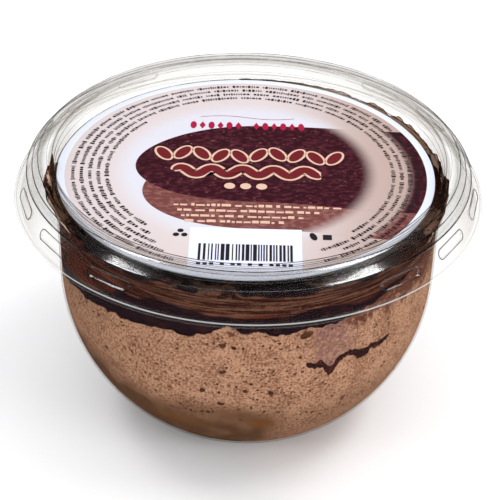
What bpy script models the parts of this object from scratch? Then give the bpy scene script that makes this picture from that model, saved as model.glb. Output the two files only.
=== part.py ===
"""A clear lidded cup of chocolate tiramisu dessert, about 95 mm wide and 61 mm tall.

Six nodes: the clear bowl, the clear press-on lid, the round label in the lid's recess, and the food:
mousse, the dark chocolate layer on top of it, and the piece of soaked sponge at the front right.
The object's axis is +Z, it stands on z = 0, and its front faces -Y.
"""

import math

import bmesh
import bpy
from mathutils import Matrix, Vector, noise

# Driving dimensions, in metres
RIM_RADIUS = 0.0475  # the lid's lip, the widest part
RIM_HEIGHT = 0.0527  # the plane of that lip above the table
BOWL_RADIUS = 0.0391  # outside of the round bowl
BOWL_CENTRE_HEIGHT = 0.0350  # centre of its spherical part
BOWL_WALL = 0.0004
LID_WALL = 0.00035
FOOT_INNER_RADIUS = 0.0160
FOOT_OUTER_RADIUS = 0.0174
BASE_RISE = 0.0012  # how far the base lies above the foot it stands on
GAP = 0.0003  # left between pieces that touch
LABEL_RADIUS = 0.03825
LABEL_THICKNESS = 0.0002
LABEL_SHIFT = -0.0006  # the label is stuck a little to the left

# Heights above the plane of the lip
PANEL_TOP = 0.0033  # upper face of the lid's recessed panel
CREST_TOP = 0.00837  # top of the ring around it
SHOULDER_HEIGHT = 0.0049  # where the ring's round shoulder becomes the skirt
FOOD_TOP = 0.0010
FOOD_TOP_LIMIT = PANEL_TOP - LID_WALL - GAP

# Radii of the lid's ring
PLUG_RADIUS = 0.03905  # the wall between panel and crest, on the recess's side
SHOULDER_RADIUS = 0.04505

# Turned shapes
TURN_STEPS = 48
SPHERE_STEPS = 7

# Snap lugs pressed into the lid's skirt, in groups of three
LUG_GROUP_ANGLES = (-143.1, -31.7, 31.7, 143.1)  # degrees from +X
LUG_PITCH = 19.5
LUGS_A_GROUP = 3
LUG_LENGTH = 0.0098
LUG_WIDTH = 0.0022
LUG_DEPTH = 0.0004
LUG_MARGIN = 0.0001  # more room behind a lug, whose floor is flat under a round skirt
LUG_DROP = 0.0023  # along the skirt, from its top to the middle of a lug
LUG_SEGMENTS = 10

# The food
LAYER_DEPTH = -0.0072  # underside of the chocolate layer at the axis, from the lip's plane
SHEET_CELLS = 20
SHEET_SIDE = 0.086
SHEET_DEPTH = 0.080
WAVE_LENGTH = 0.012
TOP_WAVE = 0.0005
LAYER_WAVE = 0.0009
# Height of the layer's lower edge round the wall, by degrees from +X
EDGE_HEIGHTS = (
    (-170, -0.0130), (-160, -0.0147), (-149, -0.0128), (-125, -0.0114), (-107, -0.0097), (-100, -0.0086),
    (-95, -0.0070), (-88, -0.0084), (-76, -0.0087), (-62, -0.0080), (-50, -0.0062), (-18, -0.0036),
    (6, -0.0072), (150, -0.0072), (190, -0.0130),
)
# Where the mousse is squeezed up past the layer to the top: angle and half width in degrees
MOUSSE_LIFTS = ((36, 24), (181, 13))
LIFT_HEIGHT = 0.0110
LIFT_INNER_RADIUS = 0.0335
LIFT_OUTER_RADIUS = 0.0378
TOP_LIFT = 0.0014
SPONGE_ANGLE = -56.5
SPONGE_CENTRE_RADIUS = 0.0330
SPONGE_HALF_LENGTH = 0.0160  # towards the cup's axis
SPONGE_HALF_WIDTH = 0.0124
SPONGE_FLOOR = -0.0180  # from the lip's plane
SPONGE_TILT = 2.0  # degrees, up to the right
SPONGE_SEGMENTS = 28
BLOCK_HEIGHT = 0.0300

# Colours (linear) with roughness and alpha
CLEAR = ((0.86, 0.86, 0.84), 0.08, 0.3)
PAPER = ((0.62, 0.52, 0.56), 0.4, 1.0)
MOUSSE = ((0.42, 0.25, 0.16), 0.6, 1.0)
CHOCOLATE = ((0.030, 0.012, 0.012), 0.35, 1.0)
SPONGE = ((0.25, 0.13, 0.09), 0.75, 1.0)


def clear_scene():
    """Removes what the scene holds, and the two collections that an earlier run left."""
    for item in list(bpy.data.objects):
        bpy.data.objects.remove(item, do_unlink=True)
    for group in list(bpy.data.collections):
        bpy.data.collections.remove(group)


def new_collection(name):
    group = bpy.data.collections.new(name)
    bpy.context.scene.collection.children.link(group)
    return group


def material(name, finish):
    """A Principled material from one of the colour rows above."""
    colour, roughness, alpha = finish
    made = bpy.data.materials.new(name)
    made.use_nodes = True
    shader = made.node_tree.nodes["Principled BSDF"]
    shader.inputs["Base Color"].default_value = (*colour, 1.0)
    shader.inputs["Roughness"].default_value = roughness
    shader.inputs["Metallic"].default_value = 0.0
    shader.inputs["Alpha"].default_value = alpha
    return made


def add_object(name, mesh, group, finish=None):
    made = bpy.data.objects.new(name, mesh)
    group.objects.link(made)
    if finish:
        mesh.materials.append(material(name + "_material", finish))
    return made


def above_rim(points):
    """Profile points given as radius and height above the lip's plane, as radius and height."""
    return [(radius, RIM_HEIGHT + height) for radius, height in points]


def sphere_points(radius, lowest):
    """The bowl's round side from its widest level down to the height called lowest."""
    end = math.asin((lowest - BOWL_CENTRE_HEIGHT) / radius)
    angles = [end * step / SPHERE_STEPS for step in range(SPHERE_STEPS + 1)]
    return [(radius * math.cos(a), BOWL_CENTRE_HEIGHT + radius * math.sin(a)) for a in angles]


def turned(name, points, group, finish):
    """A profile turned about Z by a Screw modifier. Its points run down the outer side."""
    mesh = bpy.data.meshes.new(name)
    edges = [(i, i + 1) for i in range(len(points) - 1)]
    mesh.from_pydata([(radius, 0.0, height) for radius, height in points], edges, [])
    made = add_object(name, mesh, group, finish)
    screw = made.modifiers.new("turn", "SCREW")
    screw.axis = "Z"
    screw.angle = math.tau
    screw.steps = screw.render_steps = TURN_STEPS
    screw.use_merge_vertices = True
    screw.merge_threshold = 0.00001
    screw.use_smooth_shade = False
    return made


def thicken(item, thickness):
    solidify = item.modifiers.new("wall", "SOLIDIFY")
    solidify.thickness = thickness
    solidify.offset = 0.0
    solidify.use_even_offset = True


def boolean(item, tool, operation):
    cut = item.modifiers.new(operation.lower() + " " + tool.name, "BOOLEAN")
    cut.operation = operation
    cut.object = tool
    cut.solver = "EXACT"


def as_cutter(item):
    item.hide_render = True
    item.display_type = "WIRE"
    return item


def bowl_profile():
    """Middle of the bowl's wall, from its lip over the bead and down to the middle of the base."""
    skirt = bowl_skirt()
    lip = above_rim([(0.04725, -0.00055), (0.04655, -0.00055), (0.04615, -0.00030)])
    bead = above_rim([
        (0.0436, 0.0053), (0.0429, 0.0063), (0.0420, 0.0071),
        (0.0411, 0.0073), (0.0403, 0.0069), (0.0400, 0.0060),
    ])
    step = above_rim([(0.03995, 0.0000), (0.0396, -0.0009), (0.0391, -0.0018)])
    side = sphere_points(BOWL_RADIUS - BOWL_WALL / 2, 0.0007)
    half = BOWL_WALL / 2
    foot = [(FOOT_OUTER_RADIUS, half), (FOOT_INNER_RADIUS, half)]
    base = [(FOOT_INNER_RADIUS - 0.0008, half + BASE_RISE * 0.8), (0.0, half + BASE_RISE)]
    return lip + skirt[::-1] + bead + step + side + foot + base


def lid_skirt():
    """Top and bottom of the skirt, on the middle of the lid's wall."""
    top = Vector((SHOULDER_RADIUS - 0.00016, RIM_HEIGHT + SHOULDER_HEIGHT))
    bottom = Vector((RIM_RADIUS - 0.00060, RIM_HEIGHT + 0.00085))
    return top, bottom


def skirt_normal():
    """The skirt's outward normal, as radius and height."""
    top, bottom = lid_skirt()
    along = (bottom - top).normalized()
    return Vector((-along.y, along.x))


def bowl_skirt():
    """The bowl's skirt, far enough inside the lid's to leave room for the lugs."""
    distance = LID_WALL / 2 + LUG_DEPTH + GAP + LUG_MARGIN + BOWL_WALL / 2
    shift = -skirt_normal() * distance
    return [tuple(point + shift) for point in lid_skirt()]


def lid_profile():
    """Middle of the lid's wall, from the middle of the panel out and down to the lip."""
    half = LID_WALL / 2
    panel = above_rim([(0.0, PANEL_TOP - half), (0.0386, PANEL_TOP - half)])
    wall = PLUG_RADIUS + half
    plug = above_rim([(0.03905, 0.0034), (wall, 0.0039), (wall, 0.0073)])
    crest_height = CREST_TOP - half
    crest = above_rim([
        (wall + 0.0004, 0.0080), (0.0405, crest_height), (0.0418, crest_height),
        (0.0425, 0.0079), (0.0433, 0.0072), (0.0441, 0.0063), (0.0447, 0.0055),
    ])
    skirt = [tuple(point) for point in lid_skirt()]
    lip = above_rim([(RIM_RADIUS - 0.0004, half), (RIM_RADIUS, half)])
    return panel + plug + crest + skirt + lip


def lug_angles():
    """Angle of every snap lug from +X, in radians."""
    offsets = [(i - (LUGS_A_GROUP - 1) / 2) * LUG_PITCH for i in range(LUGS_A_GROUP)]
    return [math.radians(middle + offset) for middle in LUG_GROUP_ANGLES for offset in offsets]


def oblong_prisms(name, group, length, width, lowest, highest):
    """One oblong prism a lug, from lowest to highest along the skirt's normal, as a cutter."""
    top, bottom = lid_skirt()
    middle = top + (bottom - top).normalized() * LUG_DROP
    outward = skirt_normal()
    shape = bmesh.new()
    for angle in lug_angles():
        made = bmesh.ops.create_cone(
            shape, cap_ends=True, segments=LUG_SEGMENTS,
            radius1=width / 2, radius2=width / 2, depth=highest - lowest,
        )
        for vertex in made["verts"]:
            vertex.co.x += math.copysign((length - width) / 2, vertex.co.x)
            vertex.co.z += (highest + lowest) / 2
        turn = Matrix.Rotation(angle, 4, "Z")
        normal = turn @ Vector((outward.x, 0.0, outward.y))
        tangent = turn @ Vector((0.0, 1.0, 0.0))
        place = turn @ Vector((middle.x, 0.0, middle.y))
        frame = Matrix((tangent, normal.cross(tangent), normal)).transposed().to_4x4()
        bmesh.ops.transform(shape, verts=made["verts"], matrix=Matrix.Translation(place) @ frame)
    mesh = bpy.data.meshes.new(name)
    shape.to_mesh(mesh)
    shape.free()
    return as_cutter(add_object(name, mesh, group))


def build_lid(parts, cutters):
    lid = turned("lid", lid_profile(), parts, CLEAR)
    thicken(lid, LID_WALL)
    half = LID_WALL / 2
    floor = half - LUG_DEPTH
    backing = oblong_prisms(
        "lug_backing", cutters, LUG_LENGTH + 2 * LID_WALL, LUG_WIDTH + 2 * LID_WALL,
        floor - LID_WALL, 0.0,
    )
    dimples = oblong_prisms("lug_dimples", cutters, LUG_LENGTH, LUG_WIDTH, floor, floor + 0.002)
    boolean(lid, backing, "UNION")
    boolean(lid, dimples, "DIFFERENCE")


def build_label(parts):
    bpy.ops.mesh.primitive_cylinder_add(
        vertices=TURN_STEPS, radius=LABEL_RADIUS, depth=LABEL_THICKNESS,
        location=(LABEL_SHIFT, 0.0, RIM_HEIGHT + PANEL_TOP + GAP + LABEL_THICKNESS / 2),
    )
    label = bpy.context.object
    label.name = label.data.name = "label"
    for group in list(label.users_collection):
        group.objects.unlink(label)
    parts.objects.link(label)
    label.data.materials.append(material("label_material", PAPER))


def bump(offset, half_width):
    """1 in the middle, falling smoothly to 0 at the half width."""
    share = min(abs(offset) / half_width, 1.0)
    return 0.5 + 0.5 * math.cos(math.pi * share)


def angle_between(first, second):
    """The difference of two angles in degrees, between -180 and 180."""
    return (first - second + 180.0) % 360.0 - 180.0


def wave(x, y, seed):
    """Smooth unevenness between about -1 and 1."""
    return 2.0 * noise.noise(Vector((x / WAVE_LENGTH, y / WAVE_LENGTH, seed)))


def lift_share(x, y):
    """How far the mousse has come up past the layer here, from 0 to 1."""
    radius = math.hypot(x, y)
    share = (radius - LIFT_INNER_RADIUS) / (LIFT_OUTER_RADIUS - LIFT_INNER_RADIUS)
    outward = min(max(share, 0.0), 1.0)
    angle = math.degrees(math.atan2(y, x))
    return outward * max(bump(angle_between(angle, at), width) for at, width in MOUSSE_LIFTS)


def food_top(x, y):
    """Height of the food's upper surface."""
    height = FOOD_TOP + TOP_WAVE * wave(x, y, 3.0) + TOP_LIFT * lift_share(x, y)
    return RIM_HEIGHT + min(height, FOOD_TOP_LIMIT)


def edge_height(x, y):
    """Height of the layer's lower edge in this direction, between the two nearest of the list."""
    angle = math.degrees(math.atan2(y, x))
    if angle < EDGE_HEIGHTS[0][0]:
        angle += 360.0
    for (start, first), (end, last) in zip(EDGE_HEIGHTS, EDGE_HEIGHTS[1:]):
        if angle <= end:
            return first + (last - first) * (angle - start) / (end - start)
    return EDGE_HEIGHTS[-1][1]


def layer_floor(x, y):
    """Height of the chocolate layer's underside, which waves more towards the axis."""
    near_wall = min(math.hypot(x, y) / BOWL_RADIUS, 1.0) ** 2
    hang = near_wall * (edge_height(x, y) - LAYER_DEPTH)
    height = LAYER_DEPTH + hang + (1.0 - near_wall) * LAYER_WAVE * wave(x, y, 8.0)
    return RIM_HEIGHT + height + LIFT_HEIGHT * lift_share(x, y)


def mousse_top(x, y):
    return min(layer_floor(x, y), food_top(x, y))


def sheet_cutter(name, group, height_at, raised, upward):
    """Everything above, or below, an uneven sheet: a grid bent by height_at and made thick."""
    shape = bmesh.new()
    bmesh.ops.create_grid(shape, x_segments=SHEET_CELLS, y_segments=SHEET_CELLS, size=SHEET_SIDE / 2)
    for vertex in shape.verts:
        vertex.co.z = height_at(vertex.co.x, vertex.co.y) + raised
    bmesh.ops.triangulate(shape, faces=shape.faces[:])
    sheet = shape.faces[:]
    grown = bmesh.ops.extrude_face_region(shape, geom=sheet)
    far_height = RIM_HEIGHT + (SHEET_DEPTH if upward else -SHEET_DEPTH)
    for item in grown["geom"]:
        if isinstance(item, bmesh.types.BMVert):
            item.co.z = far_height
    bmesh.ops.recalc_face_normals(shape, faces=shape.faces[:])
    mesh = bpy.data.meshes.new(name)
    shape.to_mesh(mesh)
    shape.free()
    return as_cutter(add_object(name, mesh, group))


def sponge_block(name, group, grown):
    """The upright oval block that the sponge is cut from, made larger all round by grown."""
    bpy.ops.mesh.primitive_cylinder_add(vertices=SPONGE_SEGMENTS, radius=1.0, depth=1.0)
    block = bpy.context.object
    block.name = block.data.name = name
    for other in list(block.users_collection):
        other.objects.unlink(block)
    group.objects.link(block)
    angle = math.radians(SPONGE_ANGLE)
    floor = RIM_HEIGHT + SPONGE_FLOOR - grown
    block.location = (
        SPONGE_CENTRE_RADIUS * math.cos(angle),
        SPONGE_CENTRE_RADIUS * math.sin(angle),
        floor + BLOCK_HEIGHT / 2,
    )
    block.rotation_euler = (0.0, math.radians(-SPONGE_TILT), angle)
    block.scale = (SPONGE_HALF_LENGTH + grown, SPONGE_HALF_WIDTH + grown, BLOCK_HEIGHT)
    return as_cutter(block)


def food_profile():
    """The food's outline inside the bowl, from the top of its side down and in to the axis."""
    inset = BOWL_WALL / 2 + GAP
    top = above_rim([(0.0, FOOD_TOP_LIMIT), (0.0394, FOOD_TOP_LIMIT)])
    neck = above_rim([(0.0394, -0.0002), (0.0390, -0.0012), (0.03855, -0.0022)])
    side = sphere_points(BOWL_RADIUS - BOWL_WALL / 2 - inset, 0.0016)
    foot_height = BOWL_WALL + GAP
    foot = [(FOOT_OUTER_RADIUS - 0.0006, foot_height), (FOOT_INNER_RADIUS + 0.0002, foot_height)]
    base_height = BOWL_WALL + BASE_RISE + GAP
    base = [(FOOT_INNER_RADIUS - 0.0006, base_height), (0.0, base_height)]
    return top + neck + side + foot + base


def build_food(parts, cutters):
    """Mousse, chocolate layer and sponge, each cut from the shape of the bowl's inside."""
    over_food = sheet_cutter("over_food", cutters, food_top, 0.0, True)
    over_mousse = sheet_cutter("over_mousse", cutters, mousse_top, 0.0, True)
    under_layer = sheet_cutter("under_layer", cutters, layer_floor, GAP, False)
    over_sponge = sheet_cutter("over_sponge", cutters, layer_floor, 0.0, True)
    pocket = sponge_block("sponge_pocket", cutters, GAP)
    block = sponge_block("sponge_block", cutters, 0.0)

    mousse = turned("mousse", food_profile(), parts, MOUSSE)
    boolean(mousse, over_mousse, "DIFFERENCE")
    boolean(mousse, pocket, "DIFFERENCE")

    chocolate = turned("chocolate_layer", food_profile(), parts, CHOCOLATE)
    boolean(chocolate, over_food, "DIFFERENCE")
    boolean(chocolate, under_layer, "DIFFERENCE")

    sponge = turned("sponge", food_profile(), parts, SPONGE)
    boolean(sponge, over_sponge, "DIFFERENCE")
    boolean(sponge, block, "INTERSECT")


def main():
    clear_scene()
    parts = new_collection("dessert_cup")
    cutters = new_collection("cutters")
    bowl = turned("bowl", bowl_profile(), parts, CLEAR)
    thicken(bowl, BOWL_WALL)
    build_lid(parts, cutters)
    build_label(parts)
    build_food(parts, cutters)


main()
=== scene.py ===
"""The looks of a clear lidded cup of chocolate tiramisu dessert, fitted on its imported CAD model.

All lengths are metres. The cup stands on z = 0, its axis is +Z and its front faces -Y.
"""

import logging
import math
import random
from collections.abc import Callable, Sequence
from dataclasses import dataclass
from enum import Enum
from typing import ClassVar

import bpy
import numpy as np
from mathutils import Matrix, Vector, noise


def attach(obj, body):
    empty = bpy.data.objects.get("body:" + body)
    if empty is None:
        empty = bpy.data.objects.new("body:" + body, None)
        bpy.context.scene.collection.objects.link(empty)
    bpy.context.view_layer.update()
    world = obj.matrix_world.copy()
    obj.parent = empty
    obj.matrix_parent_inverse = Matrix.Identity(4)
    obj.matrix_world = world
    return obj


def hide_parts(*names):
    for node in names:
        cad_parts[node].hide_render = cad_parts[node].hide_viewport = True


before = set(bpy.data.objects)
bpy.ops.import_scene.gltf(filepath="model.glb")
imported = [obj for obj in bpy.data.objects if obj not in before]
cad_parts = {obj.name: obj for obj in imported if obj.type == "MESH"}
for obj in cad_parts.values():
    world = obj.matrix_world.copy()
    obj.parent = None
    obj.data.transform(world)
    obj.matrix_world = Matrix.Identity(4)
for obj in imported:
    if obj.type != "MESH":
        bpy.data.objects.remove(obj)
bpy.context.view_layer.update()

LOG = logging.getLogger("dessert_cup")

Array = np.ndarray
Material = bpy.types.Material
Mesh = bpy.types.Mesh
Socket = bpy.types.NodeSocket
Colour = tuple[float, float, float]
Stop = tuple[float, Colour]

LIP_RADIUS = 0.0475
LIP_HEIGHT = 0.0527  # plane of the lid's lip above the table
BOWL_CENTRE_HEIGHT = 0.0350
NECK_RADIUS = 0.039
FOOD_TOP = 0.0010  # above the lip's plane


class Slot(Enum):
    """The record's material slots."""

    BOWL = "bowl_plastic"
    LID = "lid_plastic"
    LABEL = "label_print"
    MOUSSE = "mousse"
    CHOCOLATE = "chocolate"
    SPONGE = "sponge"


class Ink(Enum):
    """The print's plain colours, linear."""

    BLACK = (0.016, 0.012, 0.014)
    WHITE = (0.650, 0.670, 0.790)
    CREAM = (0.600, 0.400, 0.300)
    CRIMSON = (0.330, 0.006, 0.040)
    GARNET = (0.130, 0.010, 0.014)


# Small helpers


def smoothstep(low: float, high: float, value: Array) -> Array:
    """A smooth rise from 0, where value is low, to 1, where it is high."""
    share = np.clip((np.asarray(value, dtype=float) - low) / (high - low), 0.0, 1.0)
    return share * share * (3.0 - 2.0 * share)


def bump(offset: Array, half_width: float) -> Array:
    """A round hump: 1 where offset is 0, falling smoothly to 0 at half_width."""
    return 0.5 + 0.5 * np.cos(np.pi * np.clip(np.abs(offset) / half_width, 0.0, 1.0))


def angle_between(first: Array, second: float) -> Array:
    """The first angles less the second one, in degrees between -180 and 180."""
    return (np.asarray(first) - second + 180.0) % 360.0 - 180.0


def azimuths(places: Array) -> Array:
    """The angle of each point round the cup's axis, in degrees from +X."""
    return np.degrees(np.arctan2(places[:, 1], places[:, 0]))


def unbroken(angles: Array, rough: Array | float = 0.0) -> tuple[Array, Array]:
    """Angles for masks that run round the left side and end behind the cup.

    Args:
        angles: degrees from +X, between -180 and 180.
        rough: degrees added to them, for an uneven mask.

    Returns:
        The same angles between -300 and 60, and a mask that fades out behind the cup.
    """
    turned = np.where(angles > 60.0, angles - 360.0, angles) + rough
    return turned, smoothstep(-285.0, -215.0, turned)


def wave(points: Array, length: float, seed: float) -> Array:
    """Smooth unevenness at points, between about -1 and 1, with humps about length apart."""
    shift = Vector((seed * 7.1, seed * 3.3, seed * 5.7))
    return np.array([2.0 * noise.noise(Vector(point) / length + shift) for point in points])


def ring_wave(angles: Array, length: float, seed: float, radius: float = NECK_RADIUS) -> Array:
    """The same unevenness along a circle round the cup's axis.

    Args:
        angles: places on the circle, in degrees from +X.
        length: about how far apart its humps are.
        seed: a different number gives a different pattern.
        radius: of the circle.

    Returns:
        One value an angle, between about -1 and 1.
    """
    turned = np.radians(angles)
    ring = np.column_stack((np.cos(turned), np.sin(turned), np.zeros(len(turned))))
    return wave(ring * radius, length, seed)


def turned_point(x: float, y: float, tilt: float) -> tuple[float, float]:
    """A point turned about the origin, anticlockwise by tilt radians."""
    return x * math.cos(tilt) - y * math.sin(tilt), x * math.sin(tilt) + y * math.cos(tilt)


# Meridians and meshes


@dataclass(frozen=True)
class Corner:
    """A corner of a meridian."""

    radius: float
    height: float
    fillet: float = 0.0  # radius of the arc that rounds it
    # painted shade: the dark line along a corner's arc
    painted_line: float = 0.0  # how dark a line it shows
    gleam: float = 0.0  # how much it mirrors the lamps, also up to a next corner that does


class Meridian:
    """A line of radius and height that is turned about the cup's axis."""

    ARC_STEP = math.radians(11.0)
    STRAIGHT = 0.02  # radians; a lesser turn isn't rounded

    def __init__(self, points: Sequence, marks: Sequence | None = None) -> None:
        """Keeps each point's radius and height, and how dark a painted line of shade and how much gleam it
        shows.
        """
        self.points = np.array(points, dtype=float)
        self.marks = np.zeros((len(points), 2)) if marks is None else np.array(marks, dtype=float)

    @classmethod
    def from_corners(cls, corners: Sequence[Corner]) -> "Meridian":
        """Rounds the corners of a line.

        Args:
            corners: the corners in order.

        Returns:
            The line with an arc at each corner that has a fillet.
        """
        places = [Vector((corner.radius, corner.height)) for corner in corners]
        points, marks = [places[0]], [(0.0, 0.0)]
        for before, corner, place, after in zip(places, corners[1:-1], places[1:-1], places[2:]):
            arc = cls._arc(before, place, after, corner.fillet)
            points += arc
            for step in range(len(arc)):
                middle = math.sin(math.pi * (step + 0.5) / len(arc))
                marks.append((corner.painted_line * middle**4, corner.gleam))
        return cls([*points, places[-1]], [*marks, (0.0, 0.0)])

    @classmethod
    def _arc(cls, before: Vector, place: Vector, after: Vector, fillet: float) -> list[Vector]:
        """The arc that rounds one corner.

        Args:
            before: the corner before it.
            place: the corner.
            after: the corner after it.
            fillet: radius of the arc.

        Returns:
            The arc's points, or the corner itself where it isn't rounded.
        """
        back, ahead = before - place, after - place
        turn = math.pi - back.angle(ahead)
        if fillet <= 0.0 or turn < cls.STRAIGHT:
            return [place]
        reach = min(fillet * math.tan(turn / 2.0), 0.49 * min(back.length, ahead.length))
        start = place + back.normalized() * reach
        end = place + ahead.normalized() * reach
        steps = max(2, math.ceil(turn / cls.ARC_STEP))
        radius = reach / math.tan(turn / 2.0)
        inward = (back.normalized() + ahead.normalized()).normalized()
        middle = place + inward * math.hypot(radius, reach)
        first = (start - middle).normalized()
        last = (end - middle).normalized()
        share = [step / steps for step in range(steps + 1)]
        return [middle + radius * cls._between(first, last, turn, part) for part in share]

    @staticmethod
    def _between(first: Vector, last: Vector, turn: float, share: float) -> Vector:
        """A direction between two directions.

        Args:
            first: the one at share 0.
            last: the one at share 1.
            turn: the angle between them.
            share: from 0 to 1.

        Returns:
            The direction as a unit vector.
        """
        near = math.sin((1.0 - share) * turn) / math.sin(turn)
        far = math.sin(share * turn) / math.sin(turn)
        return first * near + last * far

    def refined(self, step: float) -> "Meridian":
        """The same line with its long stretches split.

        Args:
            step: the longest stretch that stays.

        Returns:
            The finer line.
        """
        points, marks = [self.points[0]], [self.marks[0]]
        for index in range(len(self.points) - 1):
            start, end = self.points[index : index + 2]
            parts = max(1, math.ceil(float(np.linalg.norm(end - start)) / step))
            points += [start + (end - start) * part / parts for part in range(1, parts + 1)]
            marks += [np.minimum(*self.marks[index : index + 2])] * (parts - 1) + [self.marks[index + 1]]
        return Meridian(points, marks)

    def joined(self, other: "Meridian") -> "Meridian":
        """This line followed by another that starts at its end."""
        marks = np.vstack((self.marks, other.marks[1:]))
        return Meridian(np.vstack((self.points, other.points[1:])), marks)

    def normals(self) -> Array:
        """The normal at each point, to the left of the way that the line runs.

        Returns:
            One vector of radius and height a point, longer at corners to keep a wall even.
        """
        along = np.diff(self.points, axis=0)
        along /= np.linalg.norm(along, axis=1)[:, None]
        before = np.vstack((along[:1], along))
        after = np.vstack((along, along[-1:]))
        mean = before + after
        mean /= np.linalg.norm(mean, axis=1)[:, None]
        stretch = np.clip(np.sum(mean * after, axis=1), 0.6, 1.0)
        return np.column_stack((-mean[:, 1], mean[:, 0])) / stretch[:, None]

    def wall(self, thickness: float) -> "WallOutline":
        """The closed outline of a thin wall round this line, which starts on the axis.

        Args:
            thickness: of the wall.

        Returns:
            The outline.
        """
        half = thickness / 2.0
        normals = self.normals()
        end, normal = self.points[-1], normals[-1]
        ahead = np.array((normal[1], -normal[0]))
        angles = np.linspace(0.0, math.pi, 6)[1:-1]
        lip = [end + half * (math.cos(a) * normal + math.sin(a) * ahead) for a in angles]
        left = self.points + half * normals
        right = (self.points - half * normals)[::-1]
        left[0, 0] = right[-1, 0] = 0.0
        edges = np.zeros(len(self.points))
        return WallOutline(
            points=np.vstack((left, lip, right)),
            normals=np.vstack((normals, [normal] * len(lip), normals[::-1])),
            marks=np.vstack((self.marks, np.zeros((len(lip), 2)), self.marks[::-1])),
            edges=np.concatenate((edges, np.ones(len(lip)), edges)),
        )


@dataclass(frozen=True)
class WallOutline:
    """The section of a thin turned wall, from the axis round its lip and back to the axis."""

    # painted shade on the walls of a dent
    DENT_PAINTED_SHADE: ClassVar[float] = 0.12  # how dark the walls of a dent are

    points: Array
    normals: Array  # of the wall's middle line, beside each point
    # the dark line in marks is painted shade
    marks: Array  # how dark a line and how much gleam is beside each point
    edges: Array  # 1 on the cut edge at the lip

    def mesh(self, name: str, steps: int, dent: Callable[..., Array] | None = None) -> Mesh:
        """Turns the section into a mesh that stores bend, gleam and edge for its material, bend being painted
        shade along its lines.

        Args:
            name: of the mesh.
            steps: how many lines of points go round.
            dent: gives, from radius, height and angles in degrees, how far and how steeply each
                point is pressed in: metres, and a share from 0 to 1.

        Returns:
            The mesh.
        """
        angles = np.arange(steps) * math.tau / steps
        radius, height = self.points[1:-1].T
        columns = polar_grid(angles, radius, height)
        marks = (*self.marks[1:-1].T, self.edges[1:-1])
        bends, gleams, edges = (np.tile(part, (steps, 1)) for part in marks)
        if dent:
            depth, steep = dent(radius, height, np.degrees(angles))
            inward = -self.normals[1:-1]
            columns += polar_grid(angles, inward[:, 0] * depth, inward[:, 1] * depth)
            # painted shade on the walls of the dents
            bends = np.maximum(bends, self.DENT_PAINTED_SHADE * steep)
            gleams = np.maximum(gleams, steep)
        mesh = lathe_mesh(name, columns, self.points[0, 1], self.points[-1, 1])
        for mark, values in (("bend", bends), ("gleam", gleams), ("edge", edges)):
            add_values(mesh, mark, np.append(values.ravel(), (0.0, 0.0)))
        return mesh


def new_mesh(name: str, vertices: Array, faces: Sequence, smooth: bool = True) -> Mesh:
    """Makes a mesh.

    Args:
        name: of the mesh.
        vertices: its points, one a row.
        faces: the numbers of each face's points.
        smooth: whether its shading is smooth.

    Returns:
        The mesh.
    """
    mesh = bpy.data.meshes.new(name)
    mesh.from_pydata(np.asarray(vertices).tolist(), [], faces)
    if smooth:
        mesh.shade_smooth()
    return mesh


def polar_grid(angles: Array, radius: Array, height: Array) -> Array:
    """Lines of points set round the cup's axis.

    Args:
        angles: of each line of points, in radians from +X.
        radius: of each point, one row a line, or one row for all lines.
        height: of each point above the table, likewise.

    Returns:
        Line by line, the place of each point.
    """
    around = np.asarray(angles)[:, None]
    parts = np.broadcast_arrays(radius * np.cos(around), radius * np.sin(around), height)
    return np.stack(parts, axis=-1)


def lathe_mesh(name: str, columns: Array, top: float, bottom: float) -> Mesh:
    """A closed mesh from lines of points set round the axis, with a point on the axis at each end.

    Args:
        name: of the mesh.
        columns: one line of points for each step round the axis, from top to bottom.
        top: height of the point that all lines start from.
        bottom: height of the point that all lines end in.

    Returns:
        The mesh, shaded smooth.
    """
    steps, rows = columns.shape[:2]
    index = np.arange(steps * rows).reshape(steps, rows)
    following = np.roll(index, -1, axis=0)
    quads = np.stack((index[:, :-1], index[:, 1:], following[:, 1:], following[:, :-1]), axis=-1)
    first, last = steps * rows, steps * rows + 1
    caps = [(first, int(a), int(b)) for a, b in zip(index[:, 0], following[:, 0])]
    caps += [(int(a), last, int(b)) for a, b in zip(index[:, -1], following[:, -1])]
    vertices = np.vstack((columns.reshape(-1, 3), [(0.0, 0.0, top), (0.0, 0.0, bottom)]))
    return new_mesh(name, vertices, quads.reshape(-1, 4).tolist() + caps)


def prism_faces(low: int, high: int, count: int) -> list[list[int]]:
    """The faces of a prism between two rings of points.

    Args:
        low: number of the lower ring's first point, seen with the rings anticlockwise.
        high: number of the upper ring's first point.
        count: points in a ring.

    Returns:
        The lower face, the upper face and the sides.
    """
    following = [*range(1, count), 0]
    sides = [[low + one, low + two, high + two, high + one] for one, two in enumerate(following)]
    return [list(range(low, low + count))[::-1], list(range(high, high + count)), *sides]


def tube_mesh(name: str, tubes: Sequence[Array]) -> Mesh:
    """A mesh of closed tubes that end where they start.

    Args:
        name: of the mesh.
        tubes: for each tube its sections in order, each a ring of points.

    Returns:
        The mesh, shaded smooth.
    """
    points = np.array(tubes)
    index = np.arange(points[..., 0].size).reshape(points.shape[:3])
    ahead, beside = np.roll(index, -1, axis=1), np.roll(index, -1, axis=2)
    quads = np.stack((index, ahead, np.roll(ahead, -1, axis=2), beside), axis=-1)
    return new_mesh(name, points.reshape(-1, 3), quads.reshape(-1, 4).tolist())


def add_values(mesh: Mesh, name: str, values: Array) -> None:
    """Stores one number a vertex under a name, for the mesh's material to read."""
    attribute = mesh.attributes.new(name, "FLOAT", "POINT")
    attribute.data.foreach_set("value", np.asarray(values, dtype=np.float32))


def add_blanks(mesh: Mesh, *names: str) -> None:
    """Stores 0 under each name, for what the material reads and the piece doesn't have."""
    for name in names:
        add_values(mesh, name, np.zeros(len(mesh.vertices)))


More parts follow.
